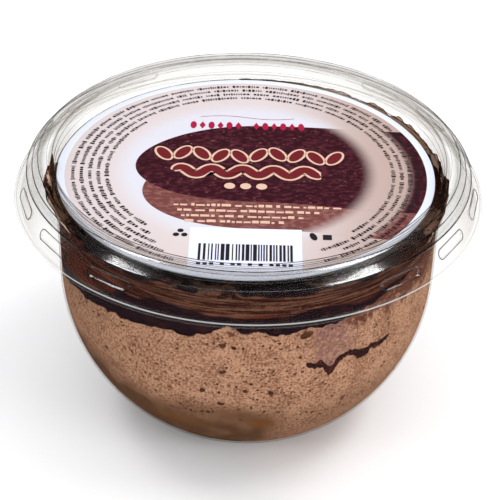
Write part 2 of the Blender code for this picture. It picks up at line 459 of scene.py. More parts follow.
def vertex_places(mesh: Mesh) -> Array:
    """Reads a mesh's vertices.

    Args:
        mesh: the mesh.

    Returns:
        The place of each, one a row.
    """
    places = np.empty(len(mesh.vertices) * 3, dtype=np.float32)
    mesh.vertices.foreach_get("co", places)
    return places.reshape(-1, 3).astype(float)


def add_piece(mesh: Mesh, material: Material, slot: Slot, *nodes: str) -> bpy.types.Object:
    """Puts a mesh into the scene as a piece of the cup.

    Args:
        mesh: the piece's mesh.
        material: its finish.
        slot: the record's slot for that finish; not used.
        nodes: the CAD nodes that the piece stands for.

    Returns:
        The new object.
    """
    piece = bpy.data.objects.new(mesh.name, mesh)
    bpy.context.scene.collection.objects.link(piece)
    mesh.materials.append(material)
    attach(piece, "root")
    if nodes:
        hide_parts(*nodes)
    LOG.info("%s: %d faces", piece.name, len(mesh.polygons))
    return piece


# Finishes

COATED = {"Roughness": 0.45, "Specular IOR Level": 0.12}  # the label's paper and its inks
PRESSED = {"Specular IOR Level": 0.0}  # food against plastic shows no shine of its own


def greys(*stops: tuple[float, float]) -> tuple[Stop, ...]:
    """The stops of a grey ramp, from the position and brightness of each."""
    return tuple((position, (level, level, level)) for position, level in stops)


class Graph:
    """The node tree of one material, built by short calls."""

    def __init__(self, name: str) -> None:
        """Starts an empty material.

        Args:
            name: of the material.
        """
        self.material = bpy.data.materials.new(name)
        self.material.use_nodes = True
        self.tree = self.material.node_tree
        self.tree.nodes.clear()
        self.output = self.tree.nodes.new("ShaderNodeOutputMaterial")

    def node(self, kind: str, inputs: dict | None = None, **settings: object) -> bpy.types.Node:
        """Adds a node.

        Args:
            kind: Blender's name for the node type.
            inputs: values or sockets by input name or number.
            settings: the node's own properties.

        Returns:
            The new node.
        """
        made = self.tree.nodes.new(kind)
        for key, value in settings.items():
            setattr(made, key, value)
        for key, value in (inputs or {}).items():
            if isinstance(value, Socket):
                self.tree.links.new(value, made.inputs[key])
            else:
                made.inputs[key].default_value = value
        return made

    def places(self, stretch: Colour = (1.0, 1.0, 1.0)) -> Socket:
        """Coordinates fixed to the piece.

        Args:
            stretch: factor on each axis; a larger one makes patterns shorter that way.

        Returns:
            The coordinates' socket.
        """
        socket = self.node("ShaderNodeTexCoord").outputs["Object"]
        if stretch == (1.0, 1.0, 1.0):
            return socket
        return self.node("ShaderNodeMapping", {"Vector": socket, "Scale": stretch}).outputs[0]

    def noise(self, places: Socket, size: float, detail: float = 2.0) -> Socket:
        """Cloudy noise from 0 to 1; size is that of its largest clouds, in metres."""
        inputs = {"Vector": places, "Scale": 1.0 / size, "Detail": detail}
        return self.node("ShaderNodeTexNoise", inputs).outputs["Fac"]

    def math(self, operation: str, *values: object) -> Socket:
        """A Math node on one, two or three values or sockets."""
        return self.node("ShaderNodeMath", dict(enumerate(values)), operation=operation).outputs[0]

    def product(self, first: object, second: object) -> Socket:
        """One value or socket times another."""
        return self.math("MULTIPLY", first, second)

    def between(self, value: Socket, low: object, high: object) -> Socket:
        """A smooth rise from 0 at low to 1 at high, or a fall where high is less than low."""
        inputs = {"Value": value, "From Min": low, "From Max": high}
        return self.node("ShaderNodeMapRange", inputs, interpolation_type="SMOOTHSTEP").outputs["Result"]

    def across_and_out(self) -> tuple[Socket, Socket]:
        """Where a flat piece is seen.

        Returns:
            The distances to the right of its middle and from its middle.
        """
        places = self.places()
        inputs = {0: places, 1: (1.0, 1.0, 0.0)}
        flat = self.node("ShaderNodeVectorMath", inputs, operation="MULTIPLY").outputs[0]
        out = self.node("ShaderNodeVectorMath", {0: flat}, operation="LENGTH").outputs["Value"]
        return self.node("ShaderNodeSeparateXYZ", {0: places}).outputs["X"], out

    def attribute(self, name: str) -> Socket:
        """The value that the mesh stores under this name."""
        return self.node("ShaderNodeAttribute", attribute_name=name).outputs["Fac"]

    def mix(self, share: object, first: object, second: object) -> Socket:
        """A colour between two colours.

        Args:
            share: 0 for the first, 1 for the second.
            first: a colour or a socket.
            second: a colour or a socket.

        Returns:
            The colour's socket.
        """
        ends = [(*end, 1.0) if isinstance(end, tuple) else end for end in (first, second)]
        made = self.node("ShaderNodeMix", data_type="RGBA")
        for index, value in zip((0, 6, 7), (share, *ends)):
            if isinstance(value, Socket):
                self.tree.links.new(value, made.inputs[index])
            else:
                made.inputs[index].default_value = value
        return made.outputs[2]

    def ramp(self, value: Socket, stops: Sequence[Stop]) -> Socket:
        """A colour ramp.

        Args:
            value: what it reads.
            stops: position and colour of each stop.

        Returns:
            The colour's socket.
        """
        made = self.node("ShaderNodeValToRGB", {"Fac": value})
        elements = made.color_ramp.elements
        while len(elements) < len(stops):
            elements.new(1.0)
        for element, (position, colour) in zip(elements, stops):
            element.position = position
            element.color = (*colour, 1.0)
        return made.outputs["Color"]

    def bump(self, height: Socket, depth: float, strength: float = 1.0) -> Socket:
        """A bumped normal, where a height of 1 stands depth metres out."""
        inputs = {"Height": height, "Distance": depth, "Strength": strength}
        return self.node("ShaderNodeBump", inputs).outputs["Normal"]

    def overlay(self, share: object, under: bpy.types.Node, over: bpy.types.Node) -> bpy.types.Node:
        """A mix of two shader nodes, all of the second where share is 1."""
        return self.node("ShaderNodeMixShader", {0: share, 1: under.outputs[0], 2: over.outputs[0]})

    def finish(self, shader: bpy.types.Node) -> Material:
        """Ends the graph with this shader and gives the material."""
        self.tree.links.new(shader.outputs[0], self.output.inputs["Surface"])
        return self.material

    def principled(self, inputs: dict) -> Material:
        """Ends the graph with a Principled shader of these inputs and gives the material."""
        return self.finish(self.node("ShaderNodeBsdfPrincipled", inputs))


@dataclass(frozen=True)
class ClearPlastic:
    """Thin clear plastic, darker where it is seen edge-on, partly for its longer path through the plastic and
    partly painted shade, and with painted shade along its bends.
    """

    name: str
    # Tints by how edge-on the plastic is seen: darker edge-on, partly for the longer path through the plastic
    # and partly painted shade
    flat_tints_and_edge_shade: tuple[Stop, ...] = (
        (0.00, (0.992, 0.991, 0.988)),
        (0.47, (0.972, 0.969, 0.963)),
        (0.62, (0.915, 0.907, 0.897)),
        (0.77, (0.895, 0.886, 0.874)),
        (0.92, (0.850, 0.839, 0.825)),
        (0.975, (0.700, 0.688, 0.672)),
        (1.00, (0.330, 0.305, 0.285)),
    )
    # Painted shade along the bends
    bend_painted_shade: tuple[Stop, ...] = (
        (0.00, (0.620, 0.600, 0.580)),
        (0.40, (0.500, 0.470, 0.445)),
        (0.70, (0.360, 0.330, 0.305)),
        (1.00, (0.160, 0.135, 0.120)),
    )
    flat_shines: tuple[Stop, ...] = greys((0.00, 0.0022), (0.50, 0.0045), (0.85, 0.018), (1.00, 0.110))
    bend_shines: tuple[Stop, ...] = greys((0.00, 0.085), (0.50, 0.090), (0.85, 0.100), (1.00, 0.180))
    roughness: float = 0.13
    # Whitish cut edge: partly the plastic's own colour, partly a painted highlight
    edge: Colour = (0.80, 0.79, 0.77)
    edge_share: float = 0.42

    def material(self) -> Material:
        """Builds the material, which reads bend, gleam and edge from the mesh.

        Returns:
            Clear and glossy shaders, mixed by how edge-on the surface is seen, with tints that are darker
            edge-on, partly by painted shade, and painted shade along the bends; whitish on the cut edge,
            partly as a painted highlight.
        """
        graph = Graph(self.name)
        facing = graph.node("ShaderNodeLayerWeight", {"Blend": 0.5}).outputs["Facing"]
        tints = (graph.ramp(facing, stops) for stops in (self.flat_tints_and_edge_shade, self.bend_painted_shade))
        # painted shade along the bends, read from the mesh's bend
        tint = graph.mix(graph.attribute("bend"), *tints)
        flow = graph.noise(graph.places(), 0.006, 1.0)
        clear = graph.node("ShaderNodeBsdfTransparent", {"Color": tint})
        surface = {"Roughness": self.roughness, "Normal": graph.bump(flow, 0.00006, 0.6)}
        gloss = graph.node("ShaderNodeBsdfGlossy", surface)
        shines = (graph.ramp(facing, stops) for stops in (self.flat_shines, self.bend_shines))
        wall = graph.overlay(graph.mix(graph.attribute("gleam"), *shines), clear, gloss)
        # the cut edge, partly a painted highlight
        cut = graph.node("ShaderNodeBsdfPrincipled", {"Base Color": (*self.edge, 1.0), "Roughness": 0.3})
        return graph.finish(graph.overlay(graph.product(graph.attribute("edge"), self.edge_share), wall, cut))


@dataclass(frozen=True)
class PaintedLinePlastic:
    """The thin dark line along a sharp bend of clear plastic, a line of painted shade."""

    tint: Colour = (0.165, 0.135, 0.120)
    roughness: float = 0.15
    ior: float = 1.3
    shine: float = 0.3

    def material(self) -> Material:
        """Builds the material, which reads dark from the mesh.

        Returns:
            A see-through shader darkened with painted shade, glossier where it is seen edge-on.
        """
        graph = Graph("painted_line_plastic")
        cloud = graph.between(graph.noise(graph.places(), 0.005, 3.0), 0.30, 0.62)
        # painted shade: how dark the line is, a little uneven
        dark = graph.product(graph.attribute("dark"), graph.math("ADD", cloud, 0.35))
        tint = graph.mix(dark, (1.0, 1.0, 1.0), self.tint)
        clear = graph.node("ShaderNodeBsdfTransparent", {"Color": tint})
        gloss = graph.node("ShaderNodeBsdfGlossy", {"Roughness": self.roughness})
        facing = graph.node("ShaderNodeFresnel", {"IOR": self.ior}).outputs[0]
        return graph.finish(graph.overlay(graph.product(facing, self.shine), clear, gloss))


@dataclass(frozen=True)
class Pits:
    """Scattered round pits of uneven size, one at most in each cell."""

    size: float  # how far apart the cells are
    reach: float  # radius of the largest, in cells
    rarity: float  # a larger number leaves fewer large ones

    def mask(self, graph: Graph, crowd: Socket) -> Socket:
        """Where the pits are.

        Args:
            graph: the material they go into.
            crowd: factor on their radius.

        Returns:
            1 in a pit and 0 outside, with soft edges.
        """
        places = graph.places((1.0, 1.0, 1.25))
        cells = graph.node("ShaderNodeTexVoronoi", {"Vector": places, "Scale": 1.0 / self.size})
        chance = graph.node("ShaderNodeSeparateColor", {0: cells.outputs["Color"]}).outputs[0]
        reach = graph.product(graph.math("POWER", chance, self.rarity), self.reach)
        limit = graph.product(reach, crowd)
        return graph.between(cells.outputs["Distance"], limit, graph.math("SUBTRACT", limit, 0.10))


@dataclass(frozen=True)
class MousseFinish:
    """Whipped chocolate mousse behind plastic: tan and grainy, with very many small dark pits."""

    name: str = "mousse"
    light: Colour = (0.455, 0.252, 0.157)
    dark: Colour = (0.205, 0.095, 0.053)
    # painted shade: darker at the left and towards the bottom
    painted_shade: Colour = (0.092, 0.042, 0.020)
    mauve: Colour = (0.215, 0.105, 0.090)
    pit: Colour = (0.085, 0.033, 0.018)
    stain: Colour = (0.085, 0.022, 0.014)
    syrup: Colour = (0.150, 0.055, 0.012)
    pits: tuple[Pits, ...] = (Pits(0.0034, 0.17, 5.0), Pits(0.0014, 0.25, 2.4), Pits(0.00072, 0.33, 1.4))
    pit_depth: float = 0.00016
    grain_size: float = 0.00045
    speckle_size: float = 0.0010
    cloud_size: float = 0.0042
    crowd_size: float = 0.0080

    def material(self) -> Material:
        """Builds the material, which reads shade, mauve, pitting, stain and syrup from the mesh.

        Returns:
            The material.
        """
        graph = Graph(self.name)
        places = graph.places()
        grain = graph.noise(places, self.grain_size, 3.0)
        cloud = graph.noise(places, self.cloud_size, 4.0)
        tone = graph.math("ADD", graph.product(grain, 0.72), graph.product(cloud, 0.28))
        colour = graph.mix(graph.between(tone, 0.38, 0.60), self.dark, self.light)
        # painted shade read from the mesh, uneven with the clouds
        painted_shade = graph.product(graph.attribute("painted_shade"), graph.math("ADD", cloud, 0.5))
        colour = graph.mix(painted_shade, colour, self.painted_shade)
        speckle = graph.between(graph.noise(places, self.speckle_size, 4.0), 0.38, 0.62)
        mauve = graph.product(graph.attribute("mauve"), graph.math("ADD", speckle, 0.35))
        colour = graph.mix(mauve, colour, self.mauve)
        crowd = graph.between(graph.noise(places, self.crowd_size, 1.0), 0.28, 0.62)
        crowd = graph.product(graph.math("ADD", crowd, 0.55), graph.attribute("pitting"))
        pits = None
        for scale in self.pits:
            pit = scale.mask(graph, crowd)
            pits = pit if pits is None else graph.math("MAXIMUM", pits, pit)
        colour = graph.mix(graph.product(pits, 0.9), colour, self.pit)
        blotch = graph.product(graph.noise(places, self.speckle_size, 6.0), 3.0)
        patch = graph.product(graph.attribute("stain"), graph.math("SUBTRACT", blotch, 0.42))
        colour = graph.mix(graph.product(graph.between(patch, 0.35, 1.05), 0.90), colour, self.stain)
        colour = graph.mix(graph.attribute("syrup"), colour, self.syrup)
        height = graph.math("SUBTRACT", graph.product(grain, 0.35), pits)
        return graph.principled({
            "Base Color": colour,
            "Roughness": 0.6,
            **PRESSED,
            "Normal": graph.bump(height, self.pit_depth, 0.4),
        })


@dataclass(frozen=True)
class ChocolateFinish:
    """The moist dark layer, brown and streaky where mousse is smeared over it at the neck."""

    name: str = "chocolate"
    dark: Colour = (0.0120, 0.0052, 0.0070)
    lighter: Colour = (0.030, 0.0100, 0.0095)
    smear: Colour = (0.148, 0.063, 0.039)
    gap: Colour = (0.030, 0.0095, 0.0060)
    rust: Colour = (0.095, 0.0210, 0.0105)
    dab: Colour = (0.420, 0.240, 0.165)
    blotch_size: float = 0.0028
    streak_size: float = 0.0024
    spot_size: float = 0.0008
    ripple_size: float = 0.0011
    ripple_depth: float = 0.00030

    def material(self) -> Material:
        """Builds the material, which reads smear, rust and dab from the mesh.

        Returns:
            The material.
        """
        graph = Graph(self.name)
        places = graph.places()
        blotches = graph.between(graph.noise(places, self.blotch_size, 3.0), 0.50, 0.75)
        colour = graph.mix(blotches, self.dark, self.lighter)
        streaks = graph.noise(graph.places((0.28, 0.28, 6.0)), self.streak_size, 5.0)
        spots = graph.noise(graph.places((1.0, 1.0, 1.8)), self.spot_size, 4.0)
        tone = graph.math("ADD", graph.product(streaks, 0.76), graph.product(spots, 0.24))
        brown = graph.mix(graph.attribute("rust"), self.smear, self.rust)
        smeared = graph.mix(graph.between(tone, 0.45, 0.60), self.gap, brown)
        share = graph.math("ADD", graph.attribute("smear"), graph.product(tone, 0.9))
        colour = graph.mix(graph.between(share, 0.85, 1.15), colour, smeared)
        dabs = graph.product(graph.attribute("dab"), graph.product(spots, 2.0))
        colour = graph.mix(graph.between(dabs, 0.42, 0.70), colour, self.dab)
        ripples = graph.noise(places, self.ripple_size, 2.0)
        return graph.principled({
            "Base Color": colour,
            "Roughness": 0.5,
            **PRESSED,
            "Normal": graph.bump(ripples, self.ripple_depth, 0.5),
        })


@dataclass(frozen=True)
class PaperFinish:
    """The label's coated paper: white rim, pinkish outer band and lilac-white middle."""

    rim: Colour = (0.700, 0.735, 0.840)
    band: Colour = (0.600, 0.520, 0.520)
    warm_band: Colour = (0.440, 0.325, 0.290)
    middle: Colour = (0.600, 0.595, 0.655)
    rim_start: tuple[float, float] = (0.0366, 0.03672)
    middle_end: float = 0.0225
    band_start: float = 0.0285
    warming: tuple[float, float] = (0.004, 0.030)  # to the right of the label's middle

    def material(self) -> Material:
        """Builds the material from the distance to the label's middle.

        Returns:
            The material.
        """
        graph = Graph("label_paper")
        across, out = graph.across_and_out()
        band = self.band_colour(graph, across)
        inner = graph.mix(graph.between(out, self.middle_end, self.band_start), self.middle, band)
        fibre = graph.noise(graph.places(), 0.0009, 3.0)
        return graph.principled({
            "Base Color": graph.mix(graph.between(out, *self.rim_start), inner, self.rim),
            **COATED,
            "Normal": graph.bump(fibre, 0.00003, 0.4),
        })

    def band_colour(self, graph: Graph, across: Socket) -> Socket:
        """The outer band's colour, which grows warmer and darker towards the right."""
        return graph.mix(graph.between(across, *self.warming), self.band, self.warm_band)


@dataclass(frozen=True)
class PrintFinish:
    """One plain ink of the label, very slightly uneven."""

    ink: Ink

    def material(self) -> Material:
        """Builds the material.

        Returns:
            The material.
        """
        graph = Graph("ink_" + self.ink.name.lower())
        uneven = graph.noise(graph.places(), 0.0007, 2.0)
        paler = tuple(min(1.0, part * 1.12 + 0.006) for part in self.ink.value)
        return graph.principled({"Base Color": graph.mix(uneven, self.ink.value, paler), **COATED})


@dataclass(frozen=True)
class SwirlFinish:
    """The label's dark maroon field, mottled, with a paler ring under the small print at the right."""

    name: str
    deep: Colour
    lit: Colour
    fleck: Colour = (0.270, 0.110, 0.095)
    paper: PaperFinish = PaperFinish()
    ring_start: tuple[float, float] = (0.0232, 0.0272)
    ring_end: tuple[float, float] = (0.0345, 0.0322)
    ring_left: tuple[float, float] = (0.0040, 0.0120)

    def material(self) -> Material:
        """Builds the material from the distance to the label's middle.

        Returns:
            The material.
        """
        graph = Graph(self.name)
        mottle = graph.between(graph.noise(graph.places((0.8, 1.3, 1.0)), 0.0011, 5.0), 0.44, 0.66)
        colour = graph.mix(mottle, self.deep, self.lit)
        flecks = graph.between(graph.noise(graph.places((0.7, 1.6, 1.0)), 0.0008, 2.0), 0.66, 0.74)
        colour = graph.mix(graph.product(flecks, 0.8), colour, self.fleck)
        across, out = graph.across_and_out()
        ring = graph.product(graph.between(out, *self.ring_start), graph.between(out, *self.ring_end))
        ring = graph.product(ring, graph.between(across, *self.ring_left))
        colour = graph.mix(ring, colour, self.paper.band_colour(graph, across))
        return graph.principled({"Base Color": colour, **COATED})


@dataclass(frozen=True)
class FloorFinish:
    """Plain matt white studio floor."""

    colour: Colour = (0.95, 0.95, 0.95)

    def material(self) -> Material:
        """Builds the material.

        Returns:
            The material.
        """
        graph = Graph("studio_floor")
        faint = graph.noise(graph.places(), 0.20, 1.0)
        paler = tuple(part * 1.01 for part in self.colour)
        return graph.principled({"Base Color": graph.mix(faint, self.colour, paler), "Roughness": 0.9})


# The bowl and the lid


@dataclass(frozen=True)
class Bowl:
    """The clear bowl: foot, round side, upright neck, rim bead and a skirt inside the lid's."""

    wall: float = 0.0004
    radius: float = 0.0391
    foot_inner: float = 0.0160
    foot_outer: float = 0.0174
    base_rise: float = 0.0012
    steps: int = 360
    sphere_steps: int = 44

    def centre_line(self) -> Meridian:
        """The middle of the wall from the axis at the base up and over to the lip.

        Returns:
            The line.
        """
        half = self.wall / 2.0
        base = Meridian.from_corners([
            Corner(0.0, half + self.base_rise),
            Corner(self.foot_inner - 0.0009, half + self.base_rise * 0.85, 0.0008, 0.3),
            Corner(self.foot_inner, half, 0.0004, 0.3),
            Corner(self.foot_outer, half),
        ])
        low = -math.acos(self.foot_outer / (self.radius - half))
        angles = np.linspace(low, 0.0, self.sphere_steps)[1:]
        radius = self.radius - half
        side = Meridian([(self.foot_outer, half), *[
            (radius * math.cos(a), BOWL_CENTRE_HEIGHT + radius * math.sin(a)) for a in angles
        ]])
        lip = LIP_HEIGHT
        rim = Meridian.from_corners([
            Corner(radius, BOWL_CENTRE_HEIGHT),
            Corner(0.0390, lip - 0.0019, 0.0010, 0.10),
            Corner(0.03995, lip - 0.0003, 0.0006, 0.15),
            Corner(0.0400, lip + 0.0073, 0.0007, 0.35),
            Corner(0.04185, lip + 0.0073, 0.0009, 0.25, 1.0),
            Corner(0.04354, lip + 0.00509, 0.0008, 0.35, 1.0),
            Corner(0.04584, lip + 0.00034, 0.0005, 0.15),
            Corner(0.04615, lip - 0.00055, 0.0003, 0.15),
            Corner(0.04725, lip - 0.00055),
        ])
        return base.joined(side).joined(rim).refined(0.0030)

    def inner_line(self) -> Array:
        """The wall's inner face from the foot up to the neck's top.

        Returns:
            Radius and height of points, the height always rising.
        """
        line = self.centre_line()
        inner = line.points + line.normals() * self.wall / 2.0
        start = int(np.argmax(inner[:, 0] > self.foot_outer))
        end = int(np.argmax(inner[:, 1] > LIP_HEIGHT + 0.0055))
        return inner[start:end]

    def build(self) -> None:
        """Builds the bowl and puts it into the scene."""
        mesh = self.centre_line().wall(self.wall).mesh("clear_bowl", self.steps)
        add_piece(mesh, ClearPlastic("bowl_plastic", edge_share=0.04).material(), Slot.BOWL, "bowl")


@dataclass(frozen=True)
class Lid:
    """The clear lid: recessed panel, plug wall, rounded ring and a skirt with pressed-in snap lugs."""

    wall: float = 0.00035
    panel_height: float = 0.003125
    plug_radius: float = 0.039225
    crest_height: float = 0.008195
    steps: int = 600
    rim_steps: int = 56
    lug_groups: tuple[float, ...] = (-143.1, -31.7, 31.7, 143.1)  # degrees from +X
    lug_pitch: float = 19.5
    lug_half_length: float = 0.0049
    lug_half_width: float = 0.0011
    lug_depth: float = 0.0004
    lug_middle: tuple[float, float] = (0.04586, 0.00298)
    lug_slope: float = 0.00018
    lug_rim: float = 0.00008
    lug_bounds: tuple[float, float] = (0.0440, 0.0057)  # least radius, greatest height
    skirt_top: tuple[float, float] = (0.04486, 0.00498)  # radius, height above the lip's plane
    skirt_foot: tuple[float, float] = (0.0469, 0.00085)
    # Thin lines of painted shade along the bends: radius, height above the lip's plane, half width, how dark
    lines: tuple[tuple[float, float, float, float], ...] = (
        (0.03925, 0.00318, 0.00009, 0.80),
        (0.03923, 0.00520, 0.00005, 0.25),
        (0.03924, 0.00690, 0.00005, 0.45),
        (0.03960, 0.00808, 0.00006, 0.55),
        (0.04060, 0.00828, 0.00004, 0.25),
        (0.04232, 0.00822, 0.00008, 0.55),
        (0.04352, 0.00695, 0.00011, 0.35),
        (0.04468, 0.00553, 0.00013, 0.50),
    )
    line_steps: int = 300

    def centre_line(self) -> Meridian:
        """The middle of the wall from the middle of the panel out and down to the lip.

        Returns:
            The line, finer where the lugs are.
        """
        lip = LIP_HEIGHT
        skirt_top = (self.skirt_top[0], lip + self.skirt_top[1])
        skirt_foot = (self.skirt_foot[0], lip + self.skirt_foot[1])
        top = Meridian.from_corners([
            Corner(0.0, lip + self.panel_height),
            Corner(self.plug_radius, lip + self.panel_height, 0.0006, 0.25, 0.35),
            Corner(self.plug_radius, lip + self.crest_height, 0.0010, 0.15, 0.25),
            Corner(0.0424, lip + self.crest_height, 0.0020, 0.10, 1.0),
            Corner(0.0446, lip + 0.0056, 0.0018, 0.30, 1.0),
            Corner(*skirt_top),
        ]).refined(0.0060)
        skirt = Meridian([skirt_top, skirt_foot]).refined(0.00021)
        half = self.wall / 2.0
        edge = Meridian.from_corners([
            Corner(*skirt_foot),
            Corner(0.04708, lip + half, 0.00045, 0.45, 0.25),
            Corner(LIP_RADIUS - half, lip + half),
        ])
        return top.joined(skirt).joined(edge)

    @property
    def lug_angles(self) -> list[float]:
        """Where the middle of each lug is, in degrees from +X."""
        return [group + place * self.lug_pitch for group in self.lug_groups for place in (-1, 0, 1)]

    @property
    def slope(self) -> Vector:
        """The way up the skirt, as radius and height."""
        return Vector(np.subtract(self.skirt_top, self.skirt_foot)).normalized()

    def lugs(self, radius: Array, height: Array, angles: Array) -> tuple[Array, Array]:
        """How the lugs are pressed into the skirt.

        Args:
            radius: of each point on an outline.
            height: of each point on an outline, above the table.
            angles: of each line of points, in degrees.

        Returns:
            How deep each point is pressed in, and how near it is to the middle of a lug's wall,
            one row a line of points.
        """
        height = height - LIP_HEIGHT
        slope = self.slope
        along = (radius - self.lug_middle[0]) * slope[0] + (height - self.lug_middle[1]) * slope[1]
        share = np.zeros((len(angles), len(radius)))
        straight = self.lug_half_length - self.lug_half_width
        for lug_angle in self.lug_angles:
            across = np.abs(np.radians(angle_between(angles, lug_angle)) * self.lug_middle[0])
            outside = np.hypot(np.maximum(across - straight, 0.0)[:, None], along[None, :])
            inside = self.lug_half_width - outside
            share = np.maximum(share, smoothstep(0.0, self.lug_slope * 2.0, inside))
        share = share * ((radius > self.lug_bounds[0]) & (height < self.lug_bounds[1]))
        return share * self.lug_depth, np.clip(5.0 * share * (1.0 - share), 0.0, 1.0)

    def build(self) -> None:
        """Builds the lid and puts it into the scene."""
        mesh = self.centre_line().wall(self.wall).mesh("clear_lid", self.steps, self.lugs)
        add_piece(mesh, ClearPlastic("lid_plastic").material(), Slot.LID, "lid")
        rim = PaintedLinePlastic().material()
        add_piece(self._lug_rims(), rim, Slot.LID)
        add_piece(self._bend_lines(), rim, Slot.LID)

    def _bend_lines(self) -> Mesh:
        """The thin lines that run round the lid along its sharp bends.

        Returns:
            One thin closed ring of painted shade for each line, painted darker at the front.
        """
        corners = 5
        angles = math.tau * np.arange(self.line_steps) / self.line_steps
        turns = math.tau * np.arange(corners) / corners
        # painted shade: the lines are made darker at the front
        front = 0.7 + 0.9 * smoothstep(0.5, -0.2, np.sin(angles))
        tubes, darks = [], []
        for radius, height, half, dark in self.lines:
            level = LIP_HEIGHT + height + half * np.sin(turns)
            tubes.append(polar_grid(angles, radius + half * np.cos(turns), level))
            darks.append(np.repeat(dark * front, corners))
        mesh = tube_mesh("lid_bend_lines", tubes)
        add_values(mesh, "dark", np.concatenate(darks))
        return mesh

    def _lug_rims(self) -> Mesh:
        """The rounded rims of the pressed-in lugs, where the plastic bends most sharply.

        Returns:
            One thin closed tube round each lug, tinted with painted shade that is darker at the front.
        """
        slope = self.slope
        turns = math.tau * (np.arange(self.rim_steps) + 0.5) / self.rim_steps
        straight = self.lug_half_length - self.lug_half_width
        across = np.copysign(straight, np.cos(turns)) + self.lug_half_width * np.cos(turns)
        along = self.lug_half_width * np.sin(turns)
        corners = -math.tau * np.arange(6) / 6
        out = self.lug_rim * np.cos(corners)
        up = along[:, None] * (1.0 + self.lug_rim / self.lug_half_width * np.sin(corners))
        aside = across[:, None] * (1.0 + self.lug_rim / self.lug_half_length * np.sin(corners))
        radius = self.lug_middle[0] + up * slope[0] + out * slope[1]
        height = LIP_HEIGHT + self.lug_middle[1] + up * slope[1] - out * slope[0]
        tubes = []
        for angle in np.radians(self.lug_angles):
            turned = angle + aside / self.lug_middle[0]
            tubes.append(np.stack((radius * np.cos(turned), radius * np.sin(turned), height), axis=-1))
        mesh = tube_mesh("lid_lug_rims", tubes)
        # painted shade: heavier at the front than behind
        add_values(mesh, "dark", np.where(vertex_places(mesh)[:, 1] > 0.0, 0.22, 0.75))
        return mesh


# The food


@dataclass(frozen=True)
class FoodLines:
    """The lines between the layers of food, as seen on the wall."""

    wall_line: Array
    layer_depth: float = -0.0072
    # Lower edge of the chocolate layer: degrees from +X, height from the lip's plane
    edge: tuple[tuple[float, float], ...] = (
        (-170, -0.0130), (-160, -0.0147), (-154, -0.0138), (-149, -0.0128), (-141, -0.0123),
        (-131.5, -0.0117), (-130, -0.0108), (-128, -0.0114), (-120, -0.0109), (-111, -0.0101),
        (-107, -0.0095), (-104.3, -0.0098), (-102, -0.0091), (-99.7, -0.0085), (-97.4, -0.0077),
        (-95, -0.00705), (-92.4, -0.0076), (-90, -0.0083), (-86, -0.0080), (-81.4, -0.0086),
        (-76.3, -0.0087), (-70.2, -0.0084), (-63.2, -0.0083), (-60.8, -0.0077), (-50, -0.0062),
        (-18, -0.0036), (6, -0.0072), (150, -0.0072), (190, -0.0130),
    )
    lifts: tuple[tuple[float, float], ...] = ((36, 24), (181, 13))
    lift_inner: float = 0.0335
    lift_outer: float = 0.0378
    top_lift: float = 0.0014
    top_limit: float = 0.00265
    overlap: float = 0.0012  # how far the food below reaches up behind the layer's edge

    def wall_radius(self, height: Array) -> Array:
        """Radius of the bowl's inner face at heights above the table."""
        return np.interp(height, self.wall_line[:, 1], self.wall_line[:, 0])

    def edge_height(self, angles: Array) -> Array:
        """Height of the chocolate layer's lower edge at the wall.

        Args:
            angles: degrees from +X.

        Returns:
            Heights from the lip's plane.
        """
        places, heights = zip(*self.edge)
        turned = (np.asarray(angles) - places[0]) % 360.0 + places[0]
        return np.interp(turned, places, heights)

    def spill(self, places: Array) -> Array:
        """How far chocolate has soaked down into the food at the right of the front.

        Args:
            places: points on the food.

        Returns:
            From 0 to 1.15, the same where two pieces meet.
        """
        angles = azimuths(places) + 4.0 * wave(places, 0.005, 17.0)
        heights = places[:, 2] - LIP_HEIGHT + 0.0018 * wave(places, 0.004, 2.0)
        across = smoothstep(-78.0, -50.0, angles) * smoothstep(20.0, -8.0, angles)
        return 1.15 * across * smoothstep(-0.0160, -0.0048, heights)

    @property
    def floor(self) -> float:
        """Height of the chocolate layer's underside at the axis, above the table."""
        return LIP_HEIGHT + self.layer_depth

    def lift(self, angles: Array) -> Array:
        """How far the mousse is squeezed up the wall in each direction, from 0 to 1."""
        return np.maximum.reduce([bump(angle_between(angles, at), width) for at, width in self.lifts])

    def top(self, places: Array) -> Array:
        """The food's upper surface.

        Args:
            places: points, of which only x and y count.

        Returns:
            Its height above the table at each point.
        """
        flat = places * (1.0, 1.0, 0.0)
        radius = np.hypot(places[:, 0], places[:, 1])
        outward = smoothstep(self.lift_inner, self.lift_outer, radius)
        height = FOOD_TOP + 0.0004 * wave(flat, 0.012, 3.0) + 0.00045 * wave(flat, 0.0035, 4.0)
        height += self.top_lift * outward * self.lift(azimuths(places))
        return LIP_HEIGHT + np.minimum(height, self.top_limit)


@dataclass(frozen=True)
class Stain:
    """A soft patch on the food at the wall."""

    angle: float
    height: float
    half_angle: float
    half_height: float
    strength: float = 1.0

    def on(self, angles: Array, heights: Array) -> Array:
        """How strong the patch is at each point.

        Args:
            angles: degrees from +X.
            heights: from the lip's plane.

        Returns:
            From 0 to its strength.
        """
        across = angle_between(angles, self.angle) / self.half_angle
        up = (heights - self.height) / self.half_height
        return self.strength * bump(np.hypot(across, up), 1.0)


